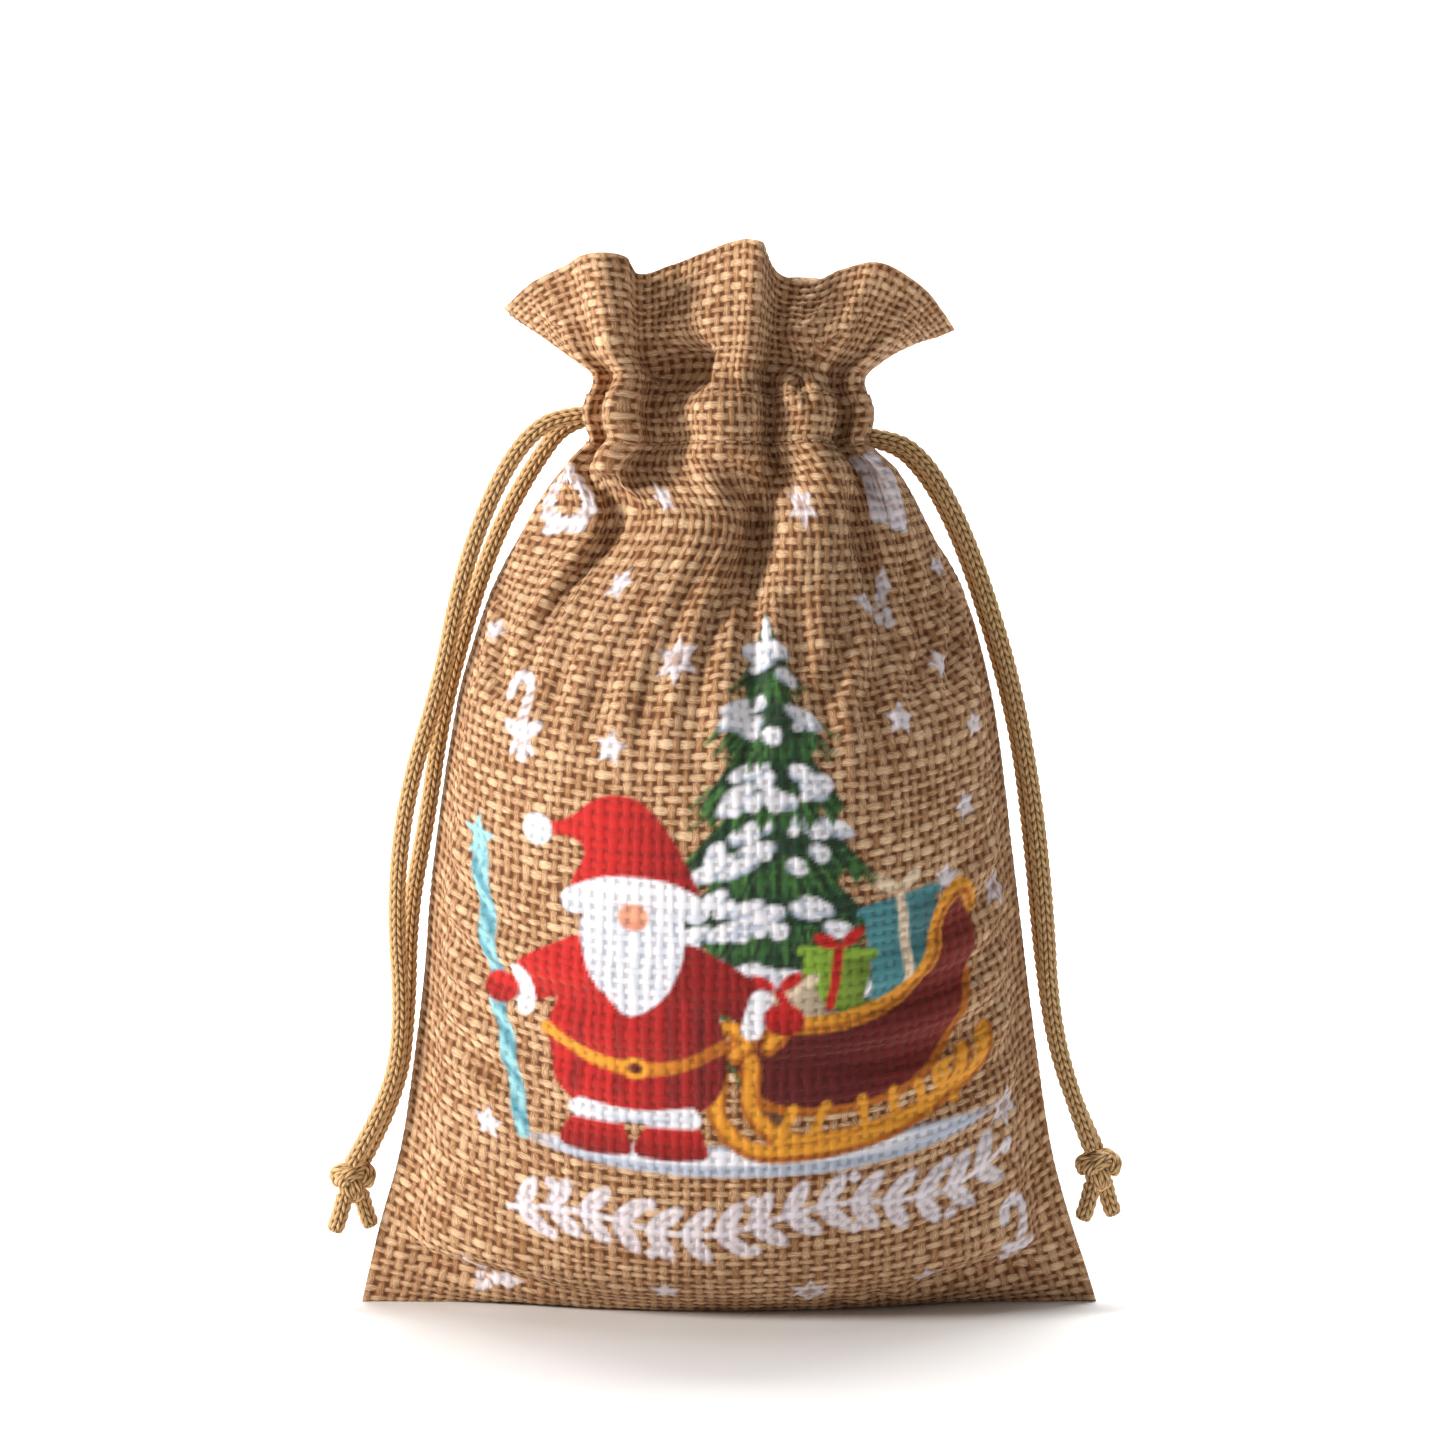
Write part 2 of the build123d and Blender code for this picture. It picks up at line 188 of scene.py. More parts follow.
def guide(u, v, facing):
    """The cloth's designed shape on a grid of flat coordinates, shaped (rows, columns, 3)."""
    neck = carry(NECK_FRONT if facing < 0 else NECK_BACK, u)
    rim = carry(RIM_FRONT if facing < 0 else RIM_BACK, u)

    def drawn(size, z):
        return np.column_stack([neck * size, np.full(len(u), z)])

    rows = [(key, lens_row(key, u, facing)) for key in (0, 3, 6, 12, 22, 42, 64, 86, 98)]
    shoulder = lens_row(108.0, u, facing)
    low_neck = lens_row(117.5, u, facing)
    if facing < 0:
        places = carry(SHOULDER, u)
        rows.append((108.0, np.column_stack([shoulder[:, :2] * 0.74 + places * 0.26 * 1.08, shoulder[:, 2]])))
        low_neck = np.column_stack([places, 105.3 + 1.4 * (u / HALF_FLAT) ** 2])
    else:
        rows.append((108.0, shoulder * 0.90 + drawn(1.45, 97.5) * 0.10))
        low_neck = low_neck * 0.48 + drawn(1.22, 107.0) * 0.52
    rows += [(117.5, low_neck), (124.5, drawn(1.06, 113.0) * (1.12, 1, 1))]
    rows += [(key, drawn(size, z)) for key, size, z in NECK_ROWS]
    flare = drawn(1.06, 0) * 0.76 + rim * 0.24
    flare[:, 2] = 127.8
    rows += [(141.6, flare), (RIM_V, rim)]
    keys = np.array([key for key, _ in rows])
    shape = np.stack([row for _, row in rows])
    grid = np.einsum("vk,kuc->vuc", spline_weights(keys, v), shape)
    normal = outward(grid, facing)
    uu, vv = np.meshgrid(u, v)
    for u0, v0, ru, rv, height in FRONT_FORMS if facing < 0 else BACK_FORMS:
        swell = np.exp(-(((uu - u0) / ru) ** 2) - ((vv - v0) / rv) ** 2)
        grid = grid + normal * (height * swell)[..., None]
    grid[..., 2] = np.maximum(grid[..., 2], 0)
    return grid


def outward(grid, facing):
    """Unit normals that point out of the sack."""
    return -facing * unit(np.cross(np.gradient(grid, axis=1), np.gradient(grid, axis=0)))


# ---- relaxing the cloth ----
def relax(front, back, u, v):
    """Lets the two sewn panels settle to their cut size around what fills them."""
    cloth = np.stack([front, back])
    goal = cloth.copy()
    du, dv = u[1] - u[0], v[1] - v[0]
    sewn = v <= SIDES_OPEN
    # how strongly each place keeps its designed shape: hardly on the belly, well at every edge
    hold = np.full((len(v), len(u)), 0.015)
    hold += (0.40 * np.clip((v - 90) / 28, 0, 1) ** 1.5)[:, None]
    hold[v <= 7] = 0.5
    hold[v >= 142] = 0.5
    hold[np.ix_(v > 130, np.abs(u) > 42)] = 0.6
    edge = np.clip((np.abs(u) - 40) / 10, 0, 1)[None, :] * np.clip((118 - v) / 10, 0, 1)[:, None]
    hold = np.maximum(hold, 0.35 * edge**2)[None, :, :, None]
    # what is inside presses the belly out
    filled = (np.clip((112 - v) / 12, 0, 1) * np.clip((v - 8) / 8, 0, 1))[None, :, None]

    def pull(axis, step, rest, stretch, squeeze):
        """Brings points that are step apart to their rest distance, by a share each way."""
        n = cloth.shape[axis]
        for phase in range(2 * step):
            first = np.arange(phase, n - step, 2 * step)
            gap = np.take(cloth, first + step, axis) - np.take(cloth, first, axis)
            size = sizes(gap)
            over = size - rest
            share = np.where(over > 0, stretch, squeeze) * 0.5 * over / np.maximum(size, 1e-6)
            index = [slice(None)] * 4
            index[axis] = first
            cloth[tuple(index)] += gap * share
            index[axis] = first + step
            cloth[tuple(index)] -= gap * share

    def shear(left, right):
        """Moves that bring one family of diagonals, from left below to right above, to length."""
        below, above = np.s_[:, :-1, left], np.s_[:, 1:, right]
        gap = cloth[above] - cloth[below]
        size = sizes(gap)
        change = gap * 0.06 * (size - hypot(du, dv)) / np.maximum(size, 1e-6)
        move = np.zeros_like(cloth)
        move[below] += change
        move[above] -= change
        return move

    for _ in range(RELAX_ROUNDS):
        normals = np.stack([outward(cloth[0], -1), outward(cloth[1], 1)])
        cloth += normals * (0.05 * filled)[..., None]
        pull(2, 1, du, 0.9, 0.35)
        pull(1, 1, dv, 0.9, 0.35)
        cloth += shear(np.s_[:-1], np.s_[1:]) + shear(np.s_[1:], np.s_[:-1])
        pull(2, 2, 2 * du, 0.0, 0.22)
        pull(1, 2, 2 * dv, 0.0, 0.30)
        cloth += hold * (goal - cloth)
        seam = (cloth[0][sewn][:, [0, -1]] + cloth[1][sewn][:, [0, -1]]) / 2
        for panel in (0, 1):
            rows = cloth[panel][sewn]
            rows[:, [0, -1]] = seam
            cloth[panel][sewn] = rows
        cloth[0][..., 1] = np.minimum(cloth[0][..., 1], 0.0)
        cloth[1][..., 1] = np.maximum(cloth[1][..., 1], 0.0)
        cloth[..., 2] = np.maximum(cloth[..., 2], 0.0)
    return cloth


coarse_u = np.linspace(-HALF_FLAT, HALF_FLAT, int(2 * HALF_FLAT / CELL) + 1)
coarse_v = np.linspace(0, RIM_V, int(RIM_V / CELL) + 1)
shapes = {facing: guide(coarse_u, coarse_v, facing) for facing in (-1, 1)}
shapes[-1], shapes[1] = relax(shapes[-1], shapes[1], coarse_u, coarse_v)


# ---- smooth random fields ----
def field(u, v, size_u, size_v):
    """A smooth random field over the cloth, about -1 to 1, with blobs of the given size."""
    knots_u = np.arange(u.min() - 2 * size_u, u.max() + 3 * size_u, size_u)
    knots_v = np.arange(v.min() - 2 * size_v, v.max() + 3 * size_v, size_v)
    values = rng.uniform(-1, 1, (len(knots_v), len(knots_u)))
    return spline_weights(knots_v, v) @ values @ spline_weights(knots_u, u).T


def show(name, data):
    """A new object with this data, in the scene."""
    shown = bpy.data.objects.new(name, data)
    bpy.context.scene.collection.objects.link(shown)
    return shown


def mesh_from_grid(name, grid, look, fields=None, flip=False, wrap=False, part=None):
    """A mesh of quads over a grid of points in millimetres, with point attributes.

    With part, every so many rows are a separate strip.
    """
    rows, columns = grid.shape[:2]
    index = np.arange(rows * columns).reshape(rows, columns)
    if wrap:
        index = np.concatenate([index, index[:, :1]], axis=1)
    quads = np.stack([index[:-1, :-1], index[:-1, 1:], index[1:, 1:], index[1:, :-1]], 2)
    if part:
        quads = np.delete(quads, np.s_[part - 1::part], axis=0)
    quads = quads.reshape(-1, 4)
    if flip:
        quads = quads[:, ::-1]
    mesh = bpy.data.meshes.new(name)
    mesh.vertices.add(rows * columns)
    mesh.vertices.foreach_set("co", (grid.reshape(-1, 3) * MM).astype(np.float32).ravel())
    mesh.loops.add(quads.size)
    mesh.loops.foreach_set("vertex_index", quads.astype(np.int32).ravel())
    mesh.polygons.add(len(quads))
    mesh.polygons.foreach_set("loop_start", np.arange(0, quads.size, 4, dtype=np.int32))
    mesh.polygons.foreach_set("use_smooth", np.ones(len(quads), bool))
    mesh.update()
    for key, values in (fields or {}).items():
        kind = "FLOAT_VECTOR" if values.shape[-1] == 3 else "FLOAT_COLOR"
        attribute = mesh.attributes.new(key, kind, "POINT")
        slot = "vector" if kind == "FLOAT_VECTOR" else "color"
        attribute.data.foreach_set(slot, values.astype(np.float32).ravel())
    mesh.materials.append(look)
    return show(name, mesh)


# ---- weave ----
YARN_WAVE = 0.10  # how far a yarn rises and dips over its neighbours
YARN_ROUND = 0.12  # half thickness of a yarn


def weave(u, v):
    """Yarn coordinates and height of a plain weave over the cloth, slightly uneven, stacked."""
    uu, vv = np.meshgrid(u, v)
    across = uu / WARP + 0.26 * field(u, v, 4, 16) + 0.12 * field(u, v, 1.6, 7)
    up = vv / WEFT + 0.26 * field(u, v, 16, 4) + 0.12 * field(u, v, 7, 1.6)
    i, j = np.floor(across), np.floor(up)
    p, q = across - i - 0.5, up - j - 0.5
    warp = YARN_WAVE * np.cos(pi * (up - 0.5 + i)) + YARN_ROUND * rounded(p)
    weft = -YARN_WAVE * np.cos(pi * (across - 0.5 + j)) + YARN_ROUND * rounded(q)
    lumps = 1 + 0.35 * field(u, v, 3, 5)
    return np.stack([across, up, np.maximum(warp, weft) * lumps], 2)


def rounded(offset):
    """Cross section of a yarn, 1 on its middle and falling off to its edges."""
    return np.sqrt(np.clip(1 - (offset / 0.5) ** 2, 0, 1)) * 2 - 1


def fine_grid(facing, v):
    """The relaxed panel on the grid of the finished cloth, with its u."""
    u = np.linspace(-HALF_FLAT, HALF_FLAT, round(2 * HALF_FLAT / WARP * PER_YARN) + 1)
    smooth = np.einsum(
        "vk,kuc,nu->vnc", spline_weights(coarse_v, v), shapes[facing], spline_weights(coarse_u, u)
    )
    return u, smooth


# ---- materials ----
def srgb(red, green, blue):
    """Linear colour from the 0 to 255 values that a paint chart gives."""
    values = [channel / 255 for channel in (red, green, blue)]
    return [c / 12.92 if c <= 0.04045 else ((c + 0.055) / 1.055) ** 2.4 for c in values]


class Nodes:
    """Small helper to wire shader nodes by their inputs."""

    def __init__(self, name):
        self.material = bpy.data.materials.new(name)
        self.material.use_nodes = True
        self.tree = self.material.node_tree
        self.tree.nodes.clear()

    def add(self, kind, *inputs, **settings):
        """A node with its inputs filled by position, and None for one left as it is."""
        node = self.tree.nodes.new(kind)
        for key, value in settings.items():
            setattr(node, key, value)
        for position, value in enumerate(inputs):
            self.put(node.inputs[position], value)
        return node

    def put(self, socket, value):
        if isinstance(value, bpy.types.Node):
            value = value.outputs[0]
        if isinstance(value, bpy.types.NodeSocket):
            self.tree.links.new(value, socket)
        elif value is not None:
            socket.default_value = value

    def math(self, operation, a, b=None):
        return self.add("ShaderNodeMath", a, b, operation=operation)

    def plus(self, a, b):
        return self.math("ADD", a, b)

    def minus(self, a, b):
        return self.math("SUBTRACT", a, b)

    def times(self, a, b):
        return self.math("MULTIPLY", a, b)

    def mix(self, share, a, b, **settings):
        node = self.add("ShaderNodeMix", share, data_type="RGBA", **settings)
        low, high = [socket for socket in node.inputs if socket.type == "RGBA"]
        self.put(low, a)
        self.put(high, b)
        return next(socket for socket in node.outputs if socket.type == "RGBA")

    def mix_value(self, share, a, b):
        return self.add("ShaderNodeMix", share, None, a, b)

    def span(self, value, low, high, to_low=0.0, to_high=1.0):
        return self.add("ShaderNodeMapRange", value, low, high, to_low, to_high,
                        interpolation_type="SMOOTHSTEP")

    def noise(self, where, scale, detail=2.0, rough=0.5):
        return self.add("ShaderNodeTexNoise", where, None, scale, detail, rough)

    def finish(self, colour, roughness, bump=None, bump_depth=0.0, sheen=0.0):
        settings = {"Base Color": colour, "Roughness": roughness, "Specular IOR Level": 0.25,
                    "Sheen Weight": sheen, "Sheen Roughness": 0.6, "Sheen Tint": SHEEN_TINT}
        if bump is not None:
            relief = self.tree.nodes.new("ShaderNodeBump")
            for key, value in (("Strength", 0.9), ("Distance", bump_depth), ("Height", bump)):
                self.put(relief.inputs[key], value)
            settings["Normal"] = relief
        shader = self.tree.nodes.new("ShaderNodeBsdfPrincipled")
        for key, value in settings.items():
            self.put(shader.inputs[key], value)
        self.add("ShaderNodeOutputMaterial", shader)
        return self.material


SHEEN_TINT = (1.0, 0.70, 0.44, 1)
YARN_DARK = (*srgb(150, 100, 60), 1)
YARN_LIGHT = (*srgb(232, 198, 158), 1)
# painted shade: the colour seen in the gaps between yarns
GAP_SHADE = (*srgb(92, 52, 26), 1)


def cloth_material(name, printed):
    """Plain weave of uneven slub yarns, with painted shade in the gaps and a painted highlight on the yarn
    crowns, and ink over yarns and gaps.
    """
    n = Nodes(name)
    place = n.add("ShaderNodeAttribute", attribute_name="yarn").outputs["Vector"]
    parts = n.add("ShaderNodeSeparateXYZ", place)
    across, up = parts.outputs[0], parts.outputs[1]
    i, j = n.math("FLOOR", across), n.math("FLOOR", up)
    p = n.minus(n.math("FRACT", across), 0.5)
    q = n.minus(n.math("FRACT", up), 0.5)

    def yarn(cross, along, index, narrow, wide, seed):
        """Cross section, wave, tone and fibres of one family of yarns."""
        lane = n.times(index, 7.31)
        slow = n.add("ShaderNodeCombineXYZ", lane, n.times(along, 0.30), seed)
        slub = n.noise(slow, 1.0, 3.0, 0.6)
        drift = n.times(n.minus(slub, 0.5), 0.22)
        width = n.span(slub, 0.3, 0.75, narrow, wide)
        ratio = n.math("DIVIDE", n.plus(cross, drift), width)
        inside = n.minus(1.0, n.times(ratio, ratio))
        body = n.math("SQRT", n.math("MAXIMUM", inside, 0.0))
        turn = n.plus(n.minus(along, 0.5), index)
        wave = n.math("COSINE", n.times(turn, pi))
        strands = n.add("ShaderNodeCombineXYZ", n.plus(n.times(cross, 4.0), lane),
                        n.plus(n.times(along, 0.75), cross), seed)
        fibre = n.noise(strands, 2.6, 4.0, 0.72)
        return body, wave, slub, fibre

    body_w, wave_w, slub_w, fibre_w = yarn(p, up, i, 0.27, 0.46, 3.1)
    body_f, wave_f, slub_f, fibre_f = yarn(q, across, j, 0.25, 0.44, 9.7)
    high_w = n.plus(n.times(body_w, 0.66), n.times(wave_w, 0.24))
    high_f = n.minus(n.times(body_f, 0.66), n.times(wave_f, 0.24))
    height = n.math("MAXIMUM", high_w, high_f)
    warp_on_top = n.math("GREATER_THAN", high_w, high_f)
    slub = n.mix_value(warp_on_top, slub_f, slub_w)
    fibre = n.mix_value(warp_on_top, fibre_f, fibre_w)
    tint = n.plus(n.times(slub, 0.8), n.times(fibre, 1.2))
    # higher places of a yarn lighter: a painted highlight on the yarn crowns
    lift = n.plus(tint, n.times(height, 0.40))
    lift = n.minus(lift, n.times(warp_on_top, 0.12))
    yarn_colour = n.mix(n.span(lift, 0.98, 1.60), YARN_DARK, YARN_LIGHT)
    # painted shade in the gaps: the gap colour where the yarns stand low
    cover = n.span(n.plus(height, n.times(fibre, 0.3)), 0.1, 0.85)
    colour = n.mix(cover, GAP_SHADE, yarn_colour)
    if printed:
        ink = n.add("ShaderNodeAttribute", attribute_name="ink")
        grip = n.span(height, 0.0, 0.30, 0.93, 1.0)
        amount = n.times(ink.outputs["Alpha"], grip)
        # ink darkened where the weave stands low: painted shade of the weave, mottled by the fibres
        weave_shade = n.span(n.plus(height, n.times(fibre, 0.4)), 0.1, 0.95, 0.72, 1.0)
        grey = n.add("ShaderNodeCombineColor", weave_shade, weave_shade, weave_shade)
        inked = n.mix(1.0, ink.outputs["Color"], grey, blend_type="MULTIPLY")
        colour = n.mix(amount, colour, inked)
    relief = n.plus(height, n.times(fibre, 0.3))
    return n.finish(colour, 0.8, relief, 0.00018, sheen=0.2)


def cord_material(name):
    """Glossy golden tan knitted cord, with painted shade between its stitches."""
    n = Nodes(name)
    place = n.add("ShaderNodeAttribute", attribute_name="stitch").outputs["Vector"]
    deep = n.add("ShaderNodeSeparateXYZ", place).outputs[2]
    strands = n.add("ShaderNodeVectorMath", place, (3.0, 14.0, 1.0), operation="MULTIPLY")
    fibre = n.noise(strands, 1.6, 3.0, 0.7)
    light = n.mix(n.span(fibre, 0.3, 0.7), (*srgb(204, 150, 86), 1), (*srgb(250, 216, 160), 1))
    # darker where the stitches stand low: painted shade between the stitches
    colour = n.mix(n.span(deep, 0.05, 0.62), (*srgb(104, 62, 26), 1), light)
    relief = n.plus(fibre, n.times(deep, 0.8))
    return n.finish(colour, 0.42, relief, 0.00012, sheen=0.2)


def plain_material(name, low, high, scale, roughness, bump_depth=None, sheen=0.0):
    """A faint mottle between two colours, with as much relief as it is given."""
    n = Nodes(name)
    mottle = n.noise(n.add("ShaderNodeTexCoord").outputs["Object"], scale)
    colour = n.mix(mottle, (*low, 1), (*high, 1))
    if bump_depth is None:
        return n.finish(colour, roughness, sheen=sheen)
    return n.finish(colour, roughness, mottle, bump_depth, sheen)


# ---- the printed picture ----
WHITE = (236, 228, 236)
RED, DEEP_RED, DARK_RED = (196, 28, 30), (138, 14, 20), (92, 16, 24)
GOLD, DEEP_GOLD = (232, 156, 48), (178, 98, 24)
PINE, LIGHT_PINE, DARK_PINE = (18, 58, 38), (66, 120, 58), (8, 34, 24)
SNOW, SNOW_SHADE = (242, 240, 246), (186, 196, 214)
ICE, DEEP_ICE = (150, 206, 214), (84, 150, 168)
TEAL, LEAF_GREEN, CREAM, PINK_SKIN = (74, 142, 150), (140, 178, 60), (238, 214, 184), (226, 158, 128)


class Print:
    """Ink on the front panel, drawn from shapes in millimetres on the flat cloth."""

    def __init__(self, u, v, smooth):
        self.u, self.v = u, v
        self.seen = smooth[..., [0, 2]]
        self.ink = np.zeros((len(v), len(u), 4))

    def at(self, x, z, reach, turn, size):
        """Starts a drawing where the cloth stands at x, z seen from the front."""
        far = ((self.seen - (x, z)) ** 2).sum(2)
        far[self.v > 125] = 1e9
        row, column = np.unravel_index(np.argmin(far), far.shape)
        rows = np.abs(self.v - self.v[row]) < reach * size
        columns = np.abs(self.u - self.u[column]) < reach * size
        self.block = np.ix_(rows, columns)
        gu, gv = np.meshgrid(self.u[columns] - self.u[column], self.v[rows] - self.v[row])
        self.x, self.y = (way / size for way in turned(gu, gv, -turn))
        self.size = size

    def paint(self, distance, colour, strength=1.0, second=None, share=None):
        """Inks where distance, in millimetres from the shape's edge, is below zero."""
        mask = np.clip(0.5 - distance * self.size / 0.42, 0, 1) * strength
        tone = np.array(srgb(*colour))[None, None] * np.ones(mask.shape + (1,))
        if second is not None:
            blend = np.clip(share, 0, 1)[..., None]
            tone = tone * (1 - blend) + np.array(srgb(*second)) * blend
        ink = self.ink[self.block]
        covered = mask + ink[..., 3] * (1 - mask)
        keep = (ink[..., 3] * (1 - mask))[..., None]
        ink[..., :3] = (tone * mask[..., None] + ink[..., :3] * keep) / np.maximum(covered, 1e-6)[..., None]
        ink[..., 3] = covered
        self.ink[self.block] = ink

    def oval(self, x, y, rx, ry, turn=0.0):
        a, b = turned(self.x - x, self.y - y, -turn)
        return (np.hypot(a / rx, b / ry) - 1) * min(rx, ry)

    def line(self, x0, y0, x1, y1, r0, r1=None):
        r1 = r0 if r1 is None else r1
        dx, dy = x1 - x0, y1 - y0
        t = np.clip(((self.x - x0) * dx + (self.y - y0) * dy) / (dx * dx + dy * dy), 0, 1)
        return np.hypot(self.x - x0 - t * dx, self.y - y0 - t * dy) - (r0 + (r1 - r0) * t)

    def stroke(self, points, r0, r1=None):
        """A smooth line through points, as wide as r0 at its start and r1 at its end."""
        r1 = r0 if r1 is None else r1
        line = rounded_line(points, False)
        radii = np.linspace(r0, r1, len(line))
        parts = [self.line(*a, *b, ra, rb) for a, b, ra, rb in zip(line, line[1:], radii, radii[1:])]
        return np.minimum.reduce(parts)

    def shape(self, points, smooth=True):
        """Signed distance to a closed outline."""
        outline = rounded_line(points, True) if smooth else np.array(points, float)
        inside = np.zeros(self.x.shape, bool)
        distance = np.full(self.x.shape, 1e9)
        for (ax, ay), (bx, by) in zip(outline, np.roll(outline, -1, axis=0)):
            distance = np.minimum(distance, self.line(ax, ay, bx + 1e-9, by, 0.0))
            crosses = (ay > self.y) != (by > self.y)
            rise = by - ay if abs(by - ay) > 1e-9 else 1e-9
            inside ^= crosses & (self.x < (bx - ax) * (self.y - ay) / rise + ax)
        return np.where(inside, -distance, distance)

    def star(self, points, outer, inner, x=0.0, y=0.0):
        corners = []
        for k in range(2 * points):
            radius, angle = (outer, inner)[k % 2], pi / 2 + k * pi / points
            corners.append((x + radius * cos(angle), y + radius * sin(angle)))
        return self.shape(corners, smooth=False)


def rounded_line(points, closed):
    """Points along a smooth line through a few given ones."""
    if closed:
        points = points[-2:] + points + points[:3]
    keys = np.arange(len(points), dtype=float)
    first, last = (2, len(points) - 3) if closed else (0, len(points) - 1)
    targets = np.linspace(first, last, int(last - first) * 5 + 1)
    found = spline_weights(keys, targets) @ np.array(points, float)
    return found[:-1] if closed else found


def draw_star(p):
    p.paint(p.star(5, 1.9, 0.95), WHITE, 0.92)


def draw_flake(p):
    p.paint(p.star(6, 2.7, 1.35), WHITE, 0.92)
    p.paint(p.oval(0, 0, 0.75, 0.75), (150, 110, 84), 0.75)
    for k in range(6):
        a = pi / 2 + k * pi / 3
        p.paint(p.line(0.8 * cos(a), 0.8 * sin(a), 1.6 * cos(a), 1.6 * sin(a), 0.13),
                (150, 110, 84), 0.6)


def draw_holly(p):
    leaf = [
        (0.3, 0), (1.5, 1.0), (2.2, 0.6), (3.2, 1.3), (4.0, 0.5), (5.4, 0), (4.0, -0.5), (3.2, -1.3),
        (2.2, -0.6), (1.5, -1.0),
    ]
    for turn in (0.5, 2.3):
        p.paint(p.shape([turned(x, y, turn) for x, y in leaf], False), WHITE, 0.9)
    for x, y in ((-0.6, -0.7), (0.8, -0.9), (0.1, -1.9)):
        p.paint(p.oval(x, y, 0.62, 0.62), WHITE, 0.95)


def draw_cane(p):
    hook = [(0.4, -4.6), (0.4, -1.5), (0.4, 2.0), (0.0, 3.8), (-1.5, 4.5), (-2.7, 3.6), (-2.7, 2.2)]
    p.paint(p.stroke(hook, 0.75), WHITE, 0.92)
    for y in (-3.6, -2.2, -0.8, 0.6, 2.0):
        p.paint(p.line(-0.4, y, 1.2, y + 0.7, 0.2), (170, 128, 100), 0.75)
    for lean in (-1, 1):
        p.paint(p.oval(0.4 + lean * 1.5, -1.6, 1.35, 0.75, lean * 0.5), WHITE, 0.92)
        p.paint(p.line(0.4, -1.6, 0.4 + lean * 1.5, -4.2, 0.38), WHITE, 0.9)


def draw_wreath(p):
    ring = np.abs(np.hypot(p.x, p.y * 1.05) - 3.0) - 0.95 - 0.28 * np.cos(np.arctan2(p.y, p.x) * 14)
    p.paint(ring, WHITE, 0.88)
    for k in range(9):
        a = k * 2 * pi / 9
        p.paint(p.oval(3.0 * cos(a), 2.9 * sin(a), 0.42, 0.42), (164, 124, 98), 0.8)
    for lean in (-1, 1):
        p.paint(p.oval(lean * 1.4, -3.0, 1.4, 0.85, lean * -0.4), WHITE, 0.95)


def draw_box(p):
    p.paint(p.shape([(-3.2, -3.4), (3.2, -3.4), (3.2, 1.6), (-3.2, 1.6)], False), WHITE, 0.9)
    p.paint(p.shape([(-3.7, 1.8), (3.7, 1.8), (3.7, 3.2), (-3.7, 3.2)], False), WHITE, 0.9)
    p.paint(p.line(0, -3.4, 0, 3.2, 0.22), (160, 120, 94), 0.8)
    p.paint(p.line(-3.2, -0.8, 3.2, -0.8, 0.16), (160, 120, 94), 0.6)
    for lean in (-1, 1):
        p.paint(p.oval(lean * 1.3, 4.1, 1.3, 0.7, lean * 0.5), WHITE, 0.9)


def draw_garland(p):
    """A band of paired leaves and berries on a gently waving stem, below the picture."""
    half, tilt = 34.0, 0.035

    def height(x):
        return 1.3 * sin(x * 0.19) + tilt * x

    p.paint(p.stroke([(x, height(x)) for x in np.linspace(-half, half, 21)], 0.42), WHITE, 0.95)
    for k, x in enumerate(np.linspace(-half + 1.5, half - 4.5, 15)):
        slope = atan(1.3 * 0.19 * cos(x * 0.19) + tilt)
        for up in (-1, 1):
            turn = slope + up * 0.82
            cx, cy = x + 2.6 * cos(turn), height(x) + 2.6 * sin(turn)
            p.paint(p.oval(cx, cy, 2.7, 1.15, turn), WHITE, 0.95)
            vein = (cx - 1.4 * cos(turn), cy - 1.4 * sin(turn))
            p.paint(p.line(*vein, 2 * cx - vein[0], 2 * cy - vein[1], 0.13), (170, 130, 104), 0.7)
        if k % 3 == 1:
            for up in (-1, 1):
                p.paint(p.oval(x + 0.2, height(x) + up * 3.6, 0.8, 0.8), WHITE, 0.95)
    p.paint(p.oval(half + 0.8, height(half), 1.1, 1.1), WHITE, 0.95)


def draw_fir(p):
    """A fir of seven tiers with snow lying on its boughs, 61 mm tall from its foot."""
    rough = np.random.default_rng(3)
    p.paint(p.line(0, -1, 0, 8, 1.6), (92, 62, 44))
    tiers = [
        (4, 15.0, 15), (11.5, 16.8, 16), (19.5, 15.6, 16), (27.5, 13.0, 15.5), (35, 10.2, 15),
        (42.5, 7.4, 14), (50, 4.6, 11.5),
    ]
    for low, reach, tall in tiers:
        edge = []
        count = max(int(reach * 0.75), 4)
        for k in range(count + 1):
            share = k / count * 2 - 1
            edge.append((share * reach, low + 1.2 * share * share - 0.6))
            if k < count:
                edge.append((share * reach + reach / count, low + 2.6))
        edge += [(reach * 0.62, low + tall * 0.42), (0.2, low + tall), (-reach * 0.62, low + tall * 0.42)]
        p.paint(p.shape(edge, False), PINE, 1.0, LIGHT_PINE, np.clip((low + 3.5 - p.y) / 4, 0, 0.6))
        for k in range(int(reach * 2.6)):
            x = rough.uniform(-0.98, 0.98) * reach
            y = low + 0.8 + 1.2 * (x / reach) ** 2 + rough.uniform(-0.4, 2.4)
            slant = 1.5 * x / reach
            p.paint(p.line(x - slant, y + 1.2, x + slant, y - 1.5, 0.26, 0.1), LIGHT_PINE, 0.85)
            p.paint(p.line(x - slant + 0.5, y + 1.0, x + slant + 0.5, y - 1.3, 0.2, 0.1), DARK_PINE, 0.85)
        for k in range(int(reach * 0.9) + 2):
            x = rough.uniform(-0.70, 0.70) * reach
            y = low + 3.4 + rough.uniform(0, tall * 0.36) - 0.10 * abs(x)
            wide, turn = rough.uniform(1.1, 2.7), -0.45 * np.sign(x) * min(abs(x) / 5, 1)
            p.paint(p.oval(x, y - 0.45, wide, 0.85, turn), SNOW_SHADE)
            p.paint(p.oval(x, y, wide * 0.92, 0.7, turn), SNOW)
            lean = rough.uniform(-0.8, 0.8)
            p.paint(p.oval(x + lean * wide, y - 0.9, 0.75, 0.6), SNOW)
    p.paint(p.oval(0.1, 58.8, 0.7, 1.7), SNOW)


